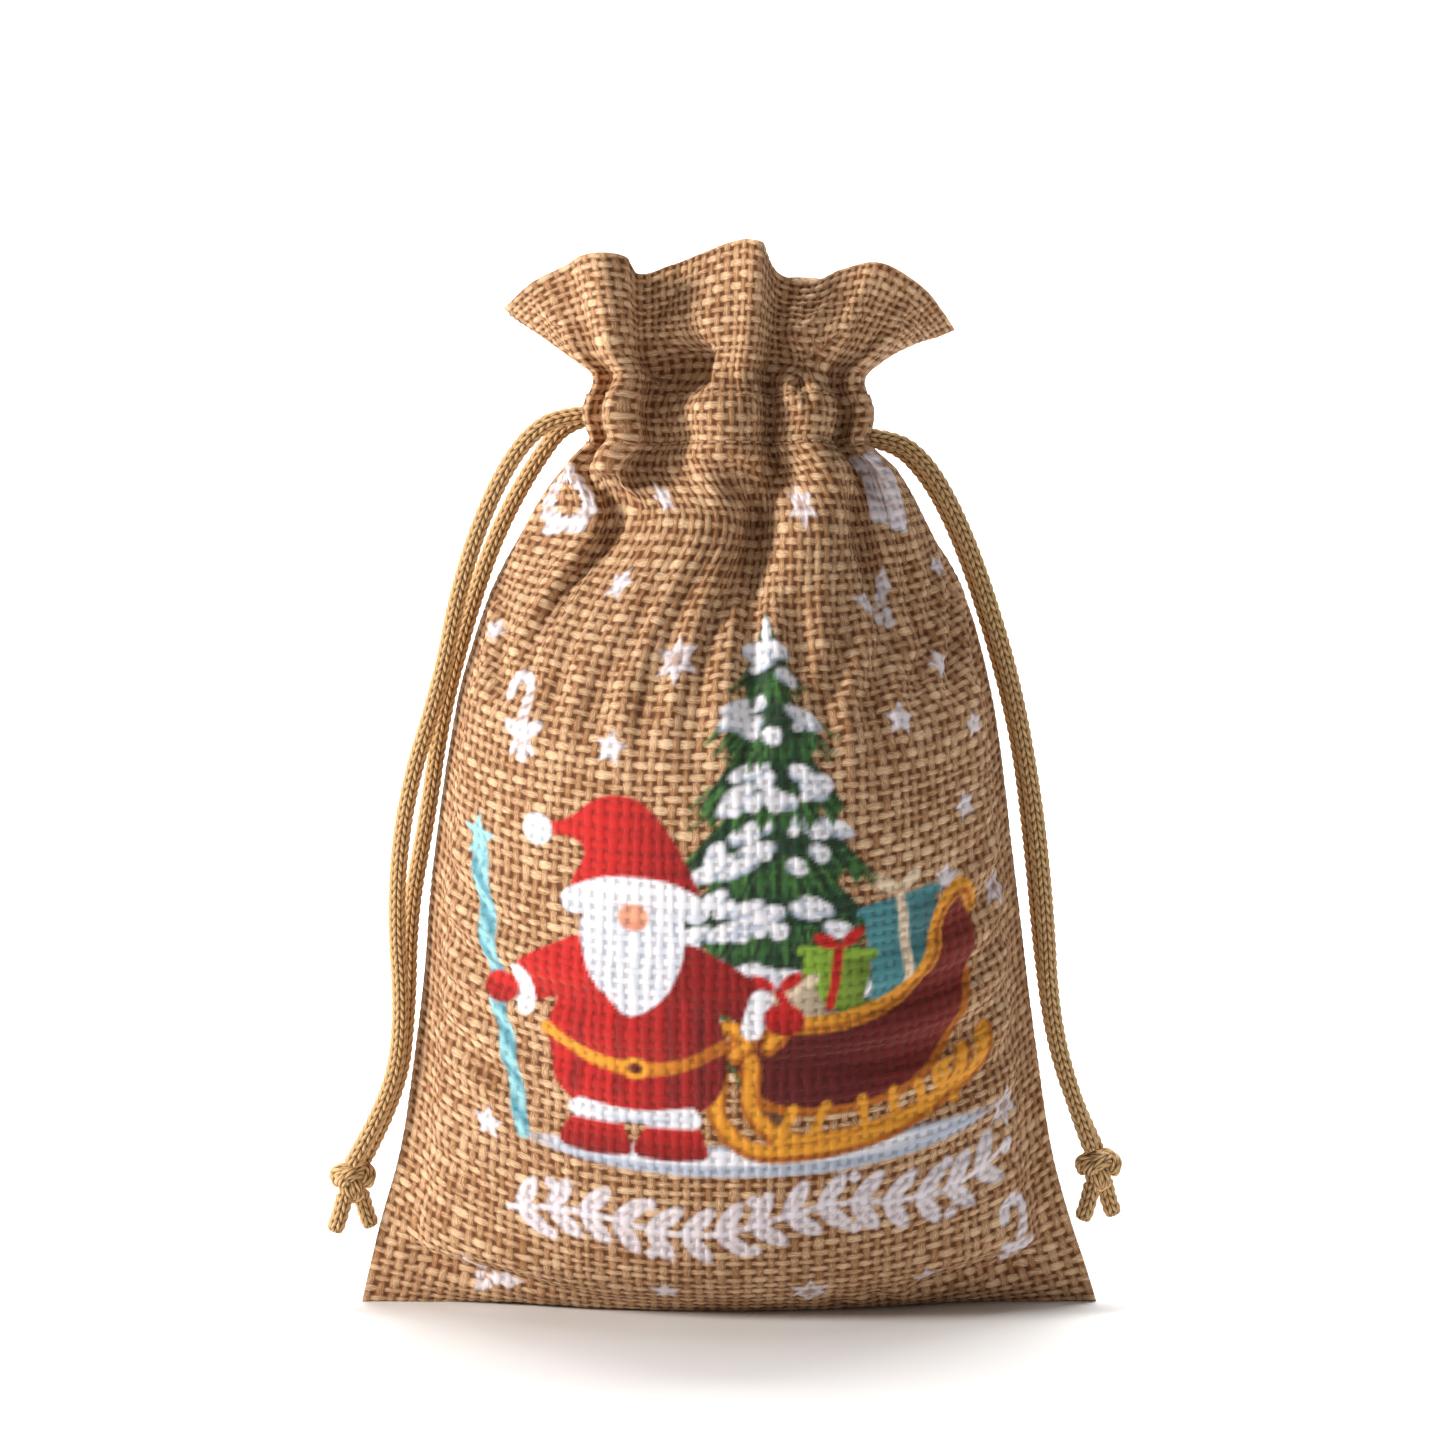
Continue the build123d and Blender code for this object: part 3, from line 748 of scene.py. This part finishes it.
def draw_sleigh(p):
    """A dark red sleigh on curled golden runners, with three wrapped boxes."""
    boxes = ((10.6, 19.6, 4.8, 6.0, 0.04, TEAL, CREAM), (1.6, 17.4, 4.0, 3.6, -0.2, LEAF_GREEN, RED),
             (-3.4, 13.2, 3.8, 3.8, 0.4, CREAM, RED))
    for x, y, w, h, turn, colour, ribbon in boxes:

        def place(a, b):
            dx, dy = turned(a * w, b * h, turn)
            return x + dx, y + dy

        shade = tuple(int(channel * 0.6) for channel in colour)
        corners = [place(*corner) for corner in ((-1, -1), (1, -1), (1, 1), (-1, 1))]
        p.paint(p.shape(corners, False), colour, 1.0, shade, (p.x - x) / w * 0.5 + 0.3)
        p.paint(p.line(*place(-1.08, 0.86), *place(1.08, 0.86), 0.6), colour)
        p.paint(p.line(*place(0, -0.9), *place(0, 0.95), 0.6), ribbon)
        knot_x, knot_y = place(0, 1.15)
        for lean in (-1, 1):
            p.paint(p.oval(knot_x + lean * 1.6, knot_y + 0.6, 1.6, 0.8, lean * 0.5), ribbon)
    body = [
        (-10.6, 9.4), (-8, 4.2), (0, 1.4), (9, 1.8), (15.5, 5.6), (19.4, 13), (20.8, 20), (18.4, 23.2),
        (15.8, 22.0), (13.8, 17.6), (10.4, 14.2), (4.5, 12.4), (-2, 11.8), (-7.4, 12.0),
    ]
    p.paint(p.shape(body), DARK_RED, 1.0, (136, 32, 26), np.clip((p.x - 2) / 20, 0, 1) * 0.7)
    rail = [
        (-11.0, 10.0), (-7, 12.4), (2, 12.2), (9.8, 13.8), (14.0, 17.6), (16.0, 22.4), (19.0, 24.0),
        (21.2, 21.0),
    ]
    p.paint(p.stroke(rail, 1.0), GOLD)
    p.paint(p.stroke([(x + 0.2, y - 0.5) for x, y in rail], 0.35), DEEP_GOLD)
    p.paint(p.stroke([(-9.5, 7.0), (-7, 3.0), (0, 1.4), (9, 2.0), (15.6, 5.8), (19.8, 13)], 0.6), DEEP_GOLD)
    for shift in (3.8, 0.0):
        runner = [
            (17.5, 3.6), (15.6, 0.0), (8, -2.4), (-2, -3.2), (-9.0, -2.4), (-12.6, 1.8), (-12.2, 6.8),
            (-13.6, 10.4), (-11.0, 12.6), (-8.8, 10.8), (-10.2, 9.2),
        ]
        runner = [(x + shift, y + shift * 0.25) for x, y in runner]
        p.paint(p.stroke(runner, 1.3, 1.0), DEEP_GOLD)
        p.paint(p.stroke([(x, y + 0.35) for x, y in runner], 0.75, 0.55), GOLD)
        for x0, x1 in ((-4, -6), (4, 4.5), (11, 12.5)):
            p.paint(p.line(x0 + shift, 2.2, x1 + shift, -2.0, 0.6), GOLD)
    scroll = [(20.5, 4.4), (18.6, 0.6), (14.8, 0.4), (13.4, 2.6), (15.4, 3.4)]
    p.paint(p.stroke(scroll, 0.8, 0.5), GOLD)


def draw_gnome(p):
    """A round bearded gnome whose hat hides its eyes, with a staff that ends in a star."""
    p.paint(p.line(-16.5, -1.0, -25.2, 37.6, 1.2, 1.7), ICE, 1.0, DEEP_ICE,
            0.5 + 0.6 * np.sin(p.y * 1.5 + p.x * 1.5))
    p.paint(p.star(5, 3.6, 1.6, -25.6, 39.6), ICE)
    for x in (-5.6, 5.0):
        boot = [(-4.6, -1.4), (-4.4, 2.0), (-1.6, 4.0), (3.0, 4.0), (4.6, 1.4), (4.4, -1.4)]
        p.paint(p.shape([(x + dx, y) for dx, y in boot]), DEEP_RED, 1.0, RED, (p.y + 1) / 5)
        p.paint(p.line(x - 2.8, 4.4, x + 2.9, 4.4, 1.25), SNOW)
    coat = [
        (-12.5, 15), (-11.5, 8.5), (-7, 4.6), (0, 4.0), (7, 4.6), (11.7, 8.5), (12.6, 15), (10.6, 22.5),
        (6.5, 28), (0, 30), (-6.5, 28), (-10.4, 22.5),
    ]
    folds = np.clip((p.x + 3) / 17, 0, 1) * 0.8 + 0.25 * np.sin(p.x * 0.9) ** 2
    p.paint(p.shape(coat), RED, 1.0, DARK_RED, folds)
    for lean in (-1, 1):
        sleeve = [(lean * 7.5, 26), (lean * 13.5, 23), (lean * 16.4, 20.8)]
        p.paint(p.stroke(sleeve, 4.0, 2.7), RED if lean < 0 else DEEP_RED, 1.0, DARK_RED, (23 - p.y) / 9)
        p.paint(p.line(lean * 17.2, 22.2, lean * 16.0, 18.0, 1.5), SNOW)
        p.paint(p.oval(lean * 20.4, 19.2, 2.9, 2.3, lean * -0.2), RED, 1.0, DEEP_RED, (20 - p.y) / 4)
    for x0, x1 in ((-6.5, -8.5), (-2.0, -2.5), (4.5, 5.5), (8.5, 10.0)):
        p.paint(p.line(x0, 24.0, x1, 8.0, 0.15, 0.9), DARK_RED, 0.45)
    p.paint(p.stroke([(-7.6, 5.2), (0, 4.4), (7.6, 5.2)], 1.0), SNOW, 1.0, SNOW_SHADE, (5.4 - p.y) / 2)
    belt = [(-12.3, 15.6), (-6.5, 12.4), (0, 11.4), (6.5, 12.4), (12.3, 15.6)]
    p.paint(p.stroke(belt, 0.95), GOLD, 1.0, DEEP_GOLD, (p.x + 6) / 16)
    p.paint(p.oval(0, 11.5, 1.9, 1.6), GOLD)
    p.paint(p.oval(0, 11.5, 1.0, 0.8), DARK_RED)
    beard = [
        (-6.6, 34.0), (-7.5, 29.5), (-5.9, 24.6), (-3.3, 21.2), (-0.9, 19.2), (2.1, 20.4), (4.9, 23.4),
        (6.8, 28.5), (6.4, 34.0), (0, 36.4),
    ]
    waves = 0.5 + 0.5 * np.sin(p.x * 2.4 + np.sin(p.y * 0.8) * 1.3)
    p.paint(p.shape(beard), SNOW, 1.0, SNOW_SHADE, waves * 0.55)
    hat = [
        (-8.3, 35.6), (7.9, 35.6), (7.2, 41.0), (4.2, 46.0), (0, 49.6), (-5.3, 49.4), (-10, 46.0),
        (-13.7, 44.6), (-13.4, 43.2), (-9.5, 43.4), (-7.2, 41.6),
    ]
    p.paint(p.shape(hat), RED, 1.0, DEEP_RED, (p.x + 2) / 12 + 0.3 * np.sin(p.y * 1.3) ** 2)
    p.paint(p.oval(-14.8, 43.6, 2.4, 2.2), SNOW, 1.0, ICE, (45 - p.y) / 5 * 0.5)
    brim = [(-8.6, 34.8), (-4.4, 36.6), (0, 37.0), (4.4, 36.6), (8.4, 34.8)]
    p.paint(p.stroke(brim, 1.9), SNOW, 1.0, SNOW_SHADE, (36 - p.y) / 5)
    p.paint(p.oval(0, 33.4, 2.2, 1.9), PINK_SKIN, 1.0, (196, 112, 92), (33.4 - p.y) / 3)


def draw_snow(p):
    """The strip of snow that the picture stands on."""
    p.paint(p.oval(0, 0, 30.5, 2.2), SNOW_SHADE, 0.95)
    p.paint(p.oval(-3, 0.5, 25, 1.1), SNOW, 0.95)


# Small white motifs: how each kind is drawn, and its places: x, z, turn in degrees, size
MOTIFS = {
    draw_wreath: [(-21.1, 108.4, 8, 1.25)],
    draw_box: [(20.0, 108.8, -14, 1.3)],
    draw_holly: [(19.3, 93.6, 30, 1.2), (-32.6, 4.6, -20, 1.1)],
    draw_cane: [(-27.0, 80.6, 8, 1.15), (38.6, 10.6, -16, 1.1)],
    draw_flake: [(9.3, 107.6, 0, 1.1), (-6.9, 87.8, 6, 1.3), (34.6, 57.3, 0, 1.1), (36.2, 28.3, 0, 1.1),
                 (10.3, 4.2, 0, 1.15)],
    draw_star: [(-8.6, 108.4, 10, 1.15), (-14.2, 97.4, -8, 1.2), (27.4, 99.6, 12, 0.95),
                (-31.2, 91.0, 0, 1.05), (-15.2, 76.4, -6, 1.25), (27.7, 86.7, 8, 1.15),
                (21.9, 80.2, -12, 1.2), (31.8, 78.8, 4, 1.0), (30.6, 68.4, 12, 1.1), (28.0, 59.4, -8, 1.1),
                (-31.8, 26.8, 0, 1.25), (26.1, 5.6, 12, 1.2), (-8.3, 4.2, 0, 1.15)],
}
# The picture from back to front: what, x, z, turn, size, and how far it reaches
PICTURE = [
    (draw_garland, 4.5, 14.6, 1.5, 1.0, 48), (draw_snow, 5.0, 23.2, 0, 1.0, 36),
    (draw_fir, 5.4, 29.4, 0, 1.07, 70), (draw_sleigh, 12.4, 28.2, 3, 1.12, 34),
    (draw_gnome, -12.2, 25.0, 0, 0.93, 60),
]
MOTIF_REACH = 9


def print_ink(u, v, smooth):
    """The whole picture as ink colour and cover for every point of the front cloth."""
    p = Print(u, v, smooth)
    small = [(draw, *place, MOTIF_REACH) for draw, places in MOTIFS.items() for place in places]
    for draw, x, z, turn, size, reach in small + PICTURE:
        p.at(x, z, reach, radians(turn), size)
        draw(p)
    return p.ink


# ---- the four cloth pieces ----
printed_cloth = cloth_material("printed_cloth", True)
plain_cloth = cloth_material("plain_cloth", False)
cord_look = cord_material("drawcord")
thread_look = plain_material(
    "seam_thread", srgb(140, 100, 68), srgb(190, 152, 116), 2600.0, 0.75, bump_depth=0.00006, sheen=0.25
)


def make_cloth(name, facing, printed):
    """A whole panel from bottom seam to rim, with its yarns in relief."""
    v = np.linspace(0, RIM_V, round(RIM_V / WEFT * PER_YARN) + 1)
    u, smooth = fine_grid(facing, v)
    yarn = weave(u, v)
    grid = smooth + outward(smooth, facing) * yarn[..., 2:]
    grid[..., 2] = np.maximum(grid[..., 2], 0.02)
    fields = {"yarn": yarn}
    if printed:
        fields["ink"] = print_ink(u, v, smooth)
    return mesh_from_grid(name, grid, printed_cloth if printed else plain_cloth, fields, flip=facing > 0)


def make_facing(name, facing):
    """The turned-in cloth: down inside from the rim, then in front of the cords in the casing."""
    down = np.linspace(0, FACING, round(FACING / WEFT * PER_YARN) + 1)
    v = RIM_V - down
    u, smooth = fine_grid(facing, v[::-1])
    normal = outward(smooth, facing)[::-1]
    smooth = smooth[::-1]
    yarn = weave(u, down)
    kept = np.abs(u) < HALF_FLAT - 1.2
    fold = 1.3 * np.sqrt(1 - (1 - np.clip(down / 1.4, 0, 1)) ** 2)
    lift = fold[:, None] + yarn[..., 2] * np.clip(down, 0, 1)[:, None]
    grid = smooth - normal * lift[..., None]
    turn = pi * (u / HALF_FLAT + 1) / 2
    ripple = 1 - 0.16 * np.sin(turn * 9) ** 2
    throat = np.stack([-9.4 * np.cos(turn) * ripple, facing * 3.75 * np.sin(turn) * ripple], 1)
    share = np.clip((down - 15.0) / 7.0, 0, 1)
    share = (share * share * (3 - 2 * share))[:, None, None]
    grid[..., :2] = grid[..., :2] * (1 - share) + throat * share
    return mesh_from_grid(name, grid[:, kept], plain_cloth, {"yarn": yarn[:, kept]}, flip=facing < 0)


def place_piece(piece, slot, *nodes, body=None):
    """Hides the CAD nodes that a piece stands for and ties it to the body it rides on, if one is given. slot
    is not used.
    """
    if body:
        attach(piece, body)
    if nodes:
        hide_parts(*nodes)


def bend_with_mouth(piece):
    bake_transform(piece)


for side, facing in (("front", -1), ("back", 1)):
    outer = make_cloth(f"{side}_cloth", facing, side == "front")
    inner = make_facing(f"{side}_turned_in_cloth", facing)
    slot = "printed_cloth" if side == "front" else "plain_cloth"
    place_piece(outer, slot, f"{side}_panel", f"{side}_casing", f"{side}_ruffle")
    place_piece(inner, "plain_cloth", f"{side}_facing")
    bend_with_mouth(outer)
    bend_with_mouth(inner)

# ---- drawcords ----
CORD_R = 1.2
HINGE_X = 21.3
LEFT_Z, RIGHT_Z = 119.8, 116.8
INSIDE_X = 15.0  # the strands start here, inside the casing
STRAND_BEND_X = (HINGE_X - 1.5, HINGE_X + 3.5)  # two places along x near the hinge; they are read but nothing uses them
ROUTES = {
    "left_front": [
        (-HINGE_X, -2.2, LEFT_Z), (-26.6, -2.4, 117.4), (-31.6, -2.4, 109.6), (-36.0, -2.2, 97.5),
        (-38.6, -2.0, 84.0), (-43.4, -1.8, 69.0), (-45.0, -1.8, 54.0), (-43.9, -1.8, 38.4),
        (-45.8, -1.6, 27.5), (-51.2, -1.4, 18.6)],
    "left_back": [
        (-HINGE_X, 2.2, LEFT_Z), (-26.4, 2.4, 113.2), (-31.6, 2.4, 103.6), (-35.4, 2.2, 92.4),
        (-38.9, 2.0, 79.2), (-40.7, 1.8, 66.4), (-43.3, 1.8, 53.0), (-43.6, 1.8, 39.4),
        (-44.9, 1.6, 28.0), (-49.8, 1.4, 18.9)],
    "right_front": [
        (HINGE_X, -2.2, RIGHT_Z), (26.2, -2.4, 113.4), (30.8, -2.4, 105.0), (34.8, -2.2, 94.0),
        (38.2, -2.0, 82.0), (40.9, -1.8, 67.0), (42.4, -1.8, 52.6), (43.0, -1.8, 40.6),
        (45.2, -1.6, 30.4), (48.8, -1.4, 20.8)],
    "right_back": [
        (HINGE_X, 2.2, RIGHT_Z), (26.8, 2.4, 111.6), (31.4, 2.4, 102.4), (35.6, 2.2, 89.6),
        (39.1, 2.0, 76.0), (40.9, 1.8, 61.0), (42.2, 1.8, 47.0), (43.8, 1.8, 36.0),
        (46.6, 1.6, 26.8), (49.8, 1.4, 20.2)],
}
KNOTS = {"left": (-51.0, 0.0, 16.6), "right": (49.8, 0.0, 18.2)}
RING_A, RING_B, STRAND_Y = 11.2, 5.4, 2.4  # half sizes of the run inside the casing, and its ends' y


def smooth_line(points):
    """Points along the NURBS line that a cord's control points draw, in millimetres."""
    curve = bpy.data.curves.new("route", "CURVE")
    curve.dimensions = "3D"
    curve.resolution_u = 24
    spline = curve.splines.new("NURBS")
    spline.points.add(len(points) - 1)
    for point, place in zip(spline.points, points):
        point.co = (*place, 1)
    spline.order_u = 3
    spline.use_endpoint_u = True
    holder = bpy.data.objects.new("route", curve)
    line = bpy.data.meshes.new_from_object(holder)
    found = np.array([vertex.co for vertex in line.vertices], float)
    bpy.data.objects.remove(holder)
    bpy.data.curves.remove(curve)
    return found


def along(line, step):
    """The line walked at an even step, with its tangent and two normals that don't twist."""
    gaps = np.linalg.norm(np.diff(line, axis=0), axis=1)
    keep = np.concatenate([[True], gaps > 1e-5])
    line = line[keep]
    far = np.concatenate([[0], np.cumsum(np.linalg.norm(np.diff(line, axis=0), axis=1))])
    at = np.linspace(0, far[-1], max(int(far[-1] / step), 4))
    path = np.stack([np.interp(at, far, line[:, k]) for k in range(3)], 1)
    tangent = unit(np.gradient(path, axis=0))
    side = np.zeros_like(path)
    seed = np.array([0.0, 1.0, 0.0]) if abs(tangent[0, 1]) < 0.9 else np.array([1.0, 0.0, 0.0])
    for k in range(len(path)):
        seed = seed - tangent[k] * seed.dot(tangent[k])
        seed /= np.linalg.norm(seed)
        side[k] = seed
    return at, path, side, np.cross(tangent, side)


COLUMNS = 5  # chains of stitches round the cord
STITCH_PITCH = 1.25
TUBE_SIDES, TUBE_STEP = 50, 0.13


def knitted_tube(name, line, radius=CORD_R):
    """A round knitted cord along a line: chains of V stitches, standing out of a tube."""
    at, path, side, other = along(line, TUBE_STEP)
    angle = np.linspace(0, 2 * pi, TUBE_SIDES, endpoint=False)
    t, a = np.meshgrid(at, angle, indexing="ij")
    column = a / (2 * pi) * COLUMNS
    leg = np.abs(column - np.floor(column) - 0.5) * 2  # 0 on the chain's middle, 1 between chains
    phase = t / STITCH_PITCH - leg * 0.85
    loop = (0.5 + 0.5 * np.cos(2 * pi * phase)) ** 0.6
    ridge = np.clip(1 - (2 * leg - 1) ** 2, 0, 1) ** 0.35
    height = ridge * (0.12 + 0.88 * loop)
    end = np.clip(np.minimum(at, at[-1] - at) / 0.7, 0, 1)
    cap = 0.35 + 0.65 * np.sqrt(1 - (1 - end) ** 2)
    size = (radius * (0.74 + 0.28 * height)) * cap[:, None]
    ring = side[:, None] * np.cos(a)[..., None] + other[:, None] * np.sin(a)[..., None]
    grid = path[:, None] + ring * size[..., None]
    tips = path[[0, -1], None].repeat(TUBE_SIDES, 1)
    grid = np.concatenate([tips[:1], grid, tips[1:]])
    tags = np.stack([t / STITCH_PITCH, column, height], 2)
    tags = np.concatenate([tags[:1], tags, tags[-1:]])
    return mesh_from_grid(name, grid, cord_look, {"stitch": tags}, flip=True, wrap=True), path


def knot_line(centre, size, turn):
    """One strand's path through an overhand knot, fitted in a ball of the given half size."""
    t = np.linspace(0.35, 2 * pi - 0.35, 120)
    x = np.sin(t) + 2 * np.sin(2 * t)
    y = np.cos(t) - 2 * np.cos(2 * t)
    z = -np.sin(3 * t) * 1.3
    points = np.stack([x, z, y], 1) * size / 3.0
    c, s = cos(turn), sin(turn)
    spin = np.array([[c, -s, 0], [s, c, 0], [0, 0, 1]])
    return points @ spin.T + np.array(centre)


CORD_SIDES = ("left", -1, LEFT_Z), ("right", 1, RIGHT_Z)
for side, sign, exit_z in CORD_SIDES:
    pull, hang, centre = f"{side}_pull", f"{side}_hang", KNOTS[side]
    wraps, _ = knitted_tube(f"{side}_knot_wraps", knot_line(centre, 2.2, 0.3), 1.15)
    loop, _ = knitted_tube(f"{side}_knot_loop", knot_line(centre, 2.0, 1.35), 1.1)
    place_piece(wraps, "drawcord", f"{side}_knot", body=hang)
    place_piece(loop, "drawcord", body=hang)
    on_cord = [wraps, loop]
    for place, lean in (("front", -1), ("back", 1)):
        foot = np.array(centre) + (lean * 0.9, lean * 1.3, -1.6)
        bend, tip = foot + (lean * 0.5, lean * 0.3, -2.8), foot + (lean * 1.5, lean * 0.4, -5.2)
        tail, _ = knitted_tube(f"{side}_{place}_cord_tail", smooth_line([foot, bend, tip]))
        place_piece(tail, "drawcord", f"{side}_{place}_tail", body=hang)
        on_cord.append(tail)
    for place, pieces in (("front", on_cord), ("back", [wraps])):
        points = ROUTES[f"{side}_{place}"]
        inside, start, end = ((sign * x, points[0][1], exit_z) for x in (INSIDE_X, *STRAND_BEND_X))
        strand, path = knitted_tube(f"{side}_{place}_cord", smooth_line([inside, *points]))
        place_piece(strand, "drawcord", f"{side}_{place}_strand", f"{side}_{place}_exit")
        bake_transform(strand)
for side, sign, exit_z in CORD_SIDES:
    # the same cord's run round inside the casing, its two ends at its own side
    gap = asin(STRAND_Y / RING_B)
    first = gap if sign > 0 else pi + gap
    turn = np.linspace(first, first + 2 * pi - 2 * gap, 160)
    line = np.stack([RING_A * np.cos(turn), RING_B * np.sin(turn), np.full(160, exit_z)], 1)
    run, _ = knitted_tube(f"{side}_cord_run_in_casing", line)
    place_piece(run, "drawcord", f"{side}_cord_in_casing", body="sack")


# ---- seams and their stitches ----
def surface(facing, u, v):
    """Point and outward normal of a finished panel's middle surface at flat places."""
    grid = shapes[facing]
    weights = spline_weights(coarse_v, v), spline_weights(coarse_u, u)
    place = np.einsum("nv,nu,vuc->nc", *weights, grid)
    out = np.einsum("nv,nu,vuc->nc", *weights, outward(grid, facing))
    return place, unit(out)


def thread_mesh(name, runs, radius=0.18):
    """Short bent threads, one for each stitch, joined in one mesh."""
    grids = []
    angle = np.linspace(0, 2 * pi, 8, endpoint=False)[:, None]
    for points in runs:
        tangent = unit(np.gradient(points, axis=0))
        side = unit(np.cross(tangent, [0.05, 0.1, 1.0]))
        other = np.cross(tangent, side)
        round_end = np.sqrt(np.clip(1 - np.linspace(-1, 1, len(points)) ** 6, 0.05, 1))
        circle = side[:, None] * np.cos(angle) + other[:, None] * np.sin(angle)
        grids.append(points[:, None] + circle * (radius * round_end)[:, None, None])
    return mesh_from_grid(name, np.concatenate(grids), thread_look, wrap=True, part=len(runs[0]))


def row_stitches(facing, v, first, last, pitch=2.6, length=1.9):
    """One row of stitches lying on a panel, each dipping into the cloth at its ends."""
    runs = []
    for start in np.arange(first, last, pitch):
        t = np.linspace(0, 1, 9)
        place, out = surface(facing, start + t * length, np.full(9, v))
        runs.append(place + out * (0.34 * np.sin(pi * t) ** 0.5 - 0.10)[:, None])
    return runs


for side, facing in (("front", -1), ("back", 1)):
    runs = row_stitches(facing, ROW_LOW, -47.5, 46) + row_stitches(facing, ROW_HIGH, -47.0, 46)
    rows = thread_mesh(f"{side}_casing_thread", runs)
    place_piece(rows, "seam_thread", f"{side}_casing_stitches")
    bend_with_mouth(rows)

ALLOWANCE = 6.0
FIN_HALF = 0.45


def seam_fin(name, edge, inward, node):
    """The two raw edges of cloth left inside beyond a seam, lying together."""
    depths = np.array([1.6, 2.4, ALLOWANCE - 0.4, ALLOWANCE, ALLOWANCE, ALLOWANCE - 0.4, 2.4, 1.6])
    halves = np.array([0.1, FIN_HALF, FIN_HALF, 0.2, 0.2, FIN_HALF, FIN_HALF, 0.1])
    halves[:4] *= -1
    grid = edge[:, None] + inward[:, None] * depths[:, None]
    grid[..., 1] += halves
    along_edge = np.arange(len(edge)) * 1.0 / PER_YARN
    yarn = np.stack(np.broadcast_arrays(depths[None] / WARP, along_edge[:, None], 0.0), 2)
    fin = mesh_from_grid(name, grid, plain_cloth, {"yarn": yarn}, wrap=True)
    place_piece(fin, "plain_cloth", node, body="sack")


def seam_threads(name, edge, inward, node):
    """Stitches through a seam allowance, seen on its front side."""
    runs = []
    for k in range(2, len(edge) - 8, 10):
        line = edge[k:k + 7] + inward[k:k + 7] * 3.2
        line[:, 1] -= FIN_HALF + 0.15 + 0.12 * np.sin(np.linspace(0, pi, 7))
        runs.append(line)
    place_piece(thread_mesh(name, runs, 0.2), "seam_thread", node, body="sack")


for side, u_edge, toward in (("left", -HALF_FLAT, 1), ("right", HALF_FLAT, -1)):
    v = np.arange(9.0, 116.0, WEFT / PER_YARN)
    edge, _ = surface(-1, np.full(len(v), u_edge), v)
    edge[:, 1] = 0
    inward = np.tile([float(toward), 0.0, 0.0], (len(v), 1))
    seam_fin(f"{side}_seam_turning", edge, inward, f"{side}_seam_allowance")
    seam_threads(f"{side}_seam_thread", edge, inward, f"{side}_seam_stitches")
u = np.arange(-39.0, 39.0, WARP / PER_YARN)
edge = np.stack([u, 0 * u, 0 * u], 1)
upright = np.tile([0.0, 0.0, 1.0], (len(u), 1))
seam_fin("bottom_seam_turning", edge, upright, "bottom_seam_allowance")
seam_threads("bottom_seam_thread", edge, upright, "bottom_seam_stitches")

# ---- floor, backdrop, light, camera ----
# A pale floor that curves up into the backdrop
profile = [(-0.9, 0.0)] + [(0.75 + 0.35 * sin(a), 0.35 - 0.35 * cos(a))
                           for a in np.linspace(0, pi / 2, 16)] + [(1.10, 1.8)]
grid = np.array([[(x / MM, y / MM, z / MM) for x in np.linspace(-1.8, 1.8, 9)] for y, z in profile])
floor_paint = plain_material("floor_paint", (0.86, 0.86, 0.86), (0.90, 0.90, 0.90), 30.0, 0.7)
mesh_from_grid("floor", grid, floor_paint)


def soft_light(name, place, aim, power, size, colour=(1, 1, 1)):
    lamp = bpy.data.lights.new(name, "AREA")
    lamp.shape = "DISK"
    lamp.size = size
    lamp.energy = power
    lamp.color = colour
    holder = show(name, lamp)
    holder.location = place
    holder.rotation_euler = (Vector(aim) - Vector(place)).to_track_quat("-Z", "Y").to_euler()


soft_light("key", (-0.95, -0.34, 0.42), (0, 0, 0.07), 13.5, 0.26, (1.0, 0.97, 0.93))
soft_light("fill", (0.55, -0.8, 0.35), (0, 0, 0.07), 0.5, 0.7)
soft_light("top", (0.0, 0.25, 1.1), (0, 0.1, 0.0), 7.0, 0.9)
soft_light("backdrop", (0.0, 0.30, 0.95), (0, 1.0, 0.35), 16.0, 0.6)
world = bpy.data.worlds.new("studio")
world.use_nodes = True
world.node_tree.nodes["Background"].inputs[0].default_value = (1, 1, 1, 1)
world.node_tree.nodes["Background"].inputs[1].default_value = 0.10
bpy.context.scene.world = world
bpy.context.scene.view_settings.view_transform = "Standard"

camera = bpy.data.cameras.new("camera")
camera.lens = 85
camera.sensor_width = 36
camera.clip_end = 20
viewer = show("camera", camera)
aim = Vector((-0.001, 0, 0.0785))
tilt = radians(3.0)
distance = 0.458
viewer.location = aim + Vector((0, -cos(tilt), sin(tilt))) * distance
viewer.rotation_euler = (aim - viewer.location).to_track_quat("-Z", "Y").to_euler()
bpy.context.scene.camera = viewer
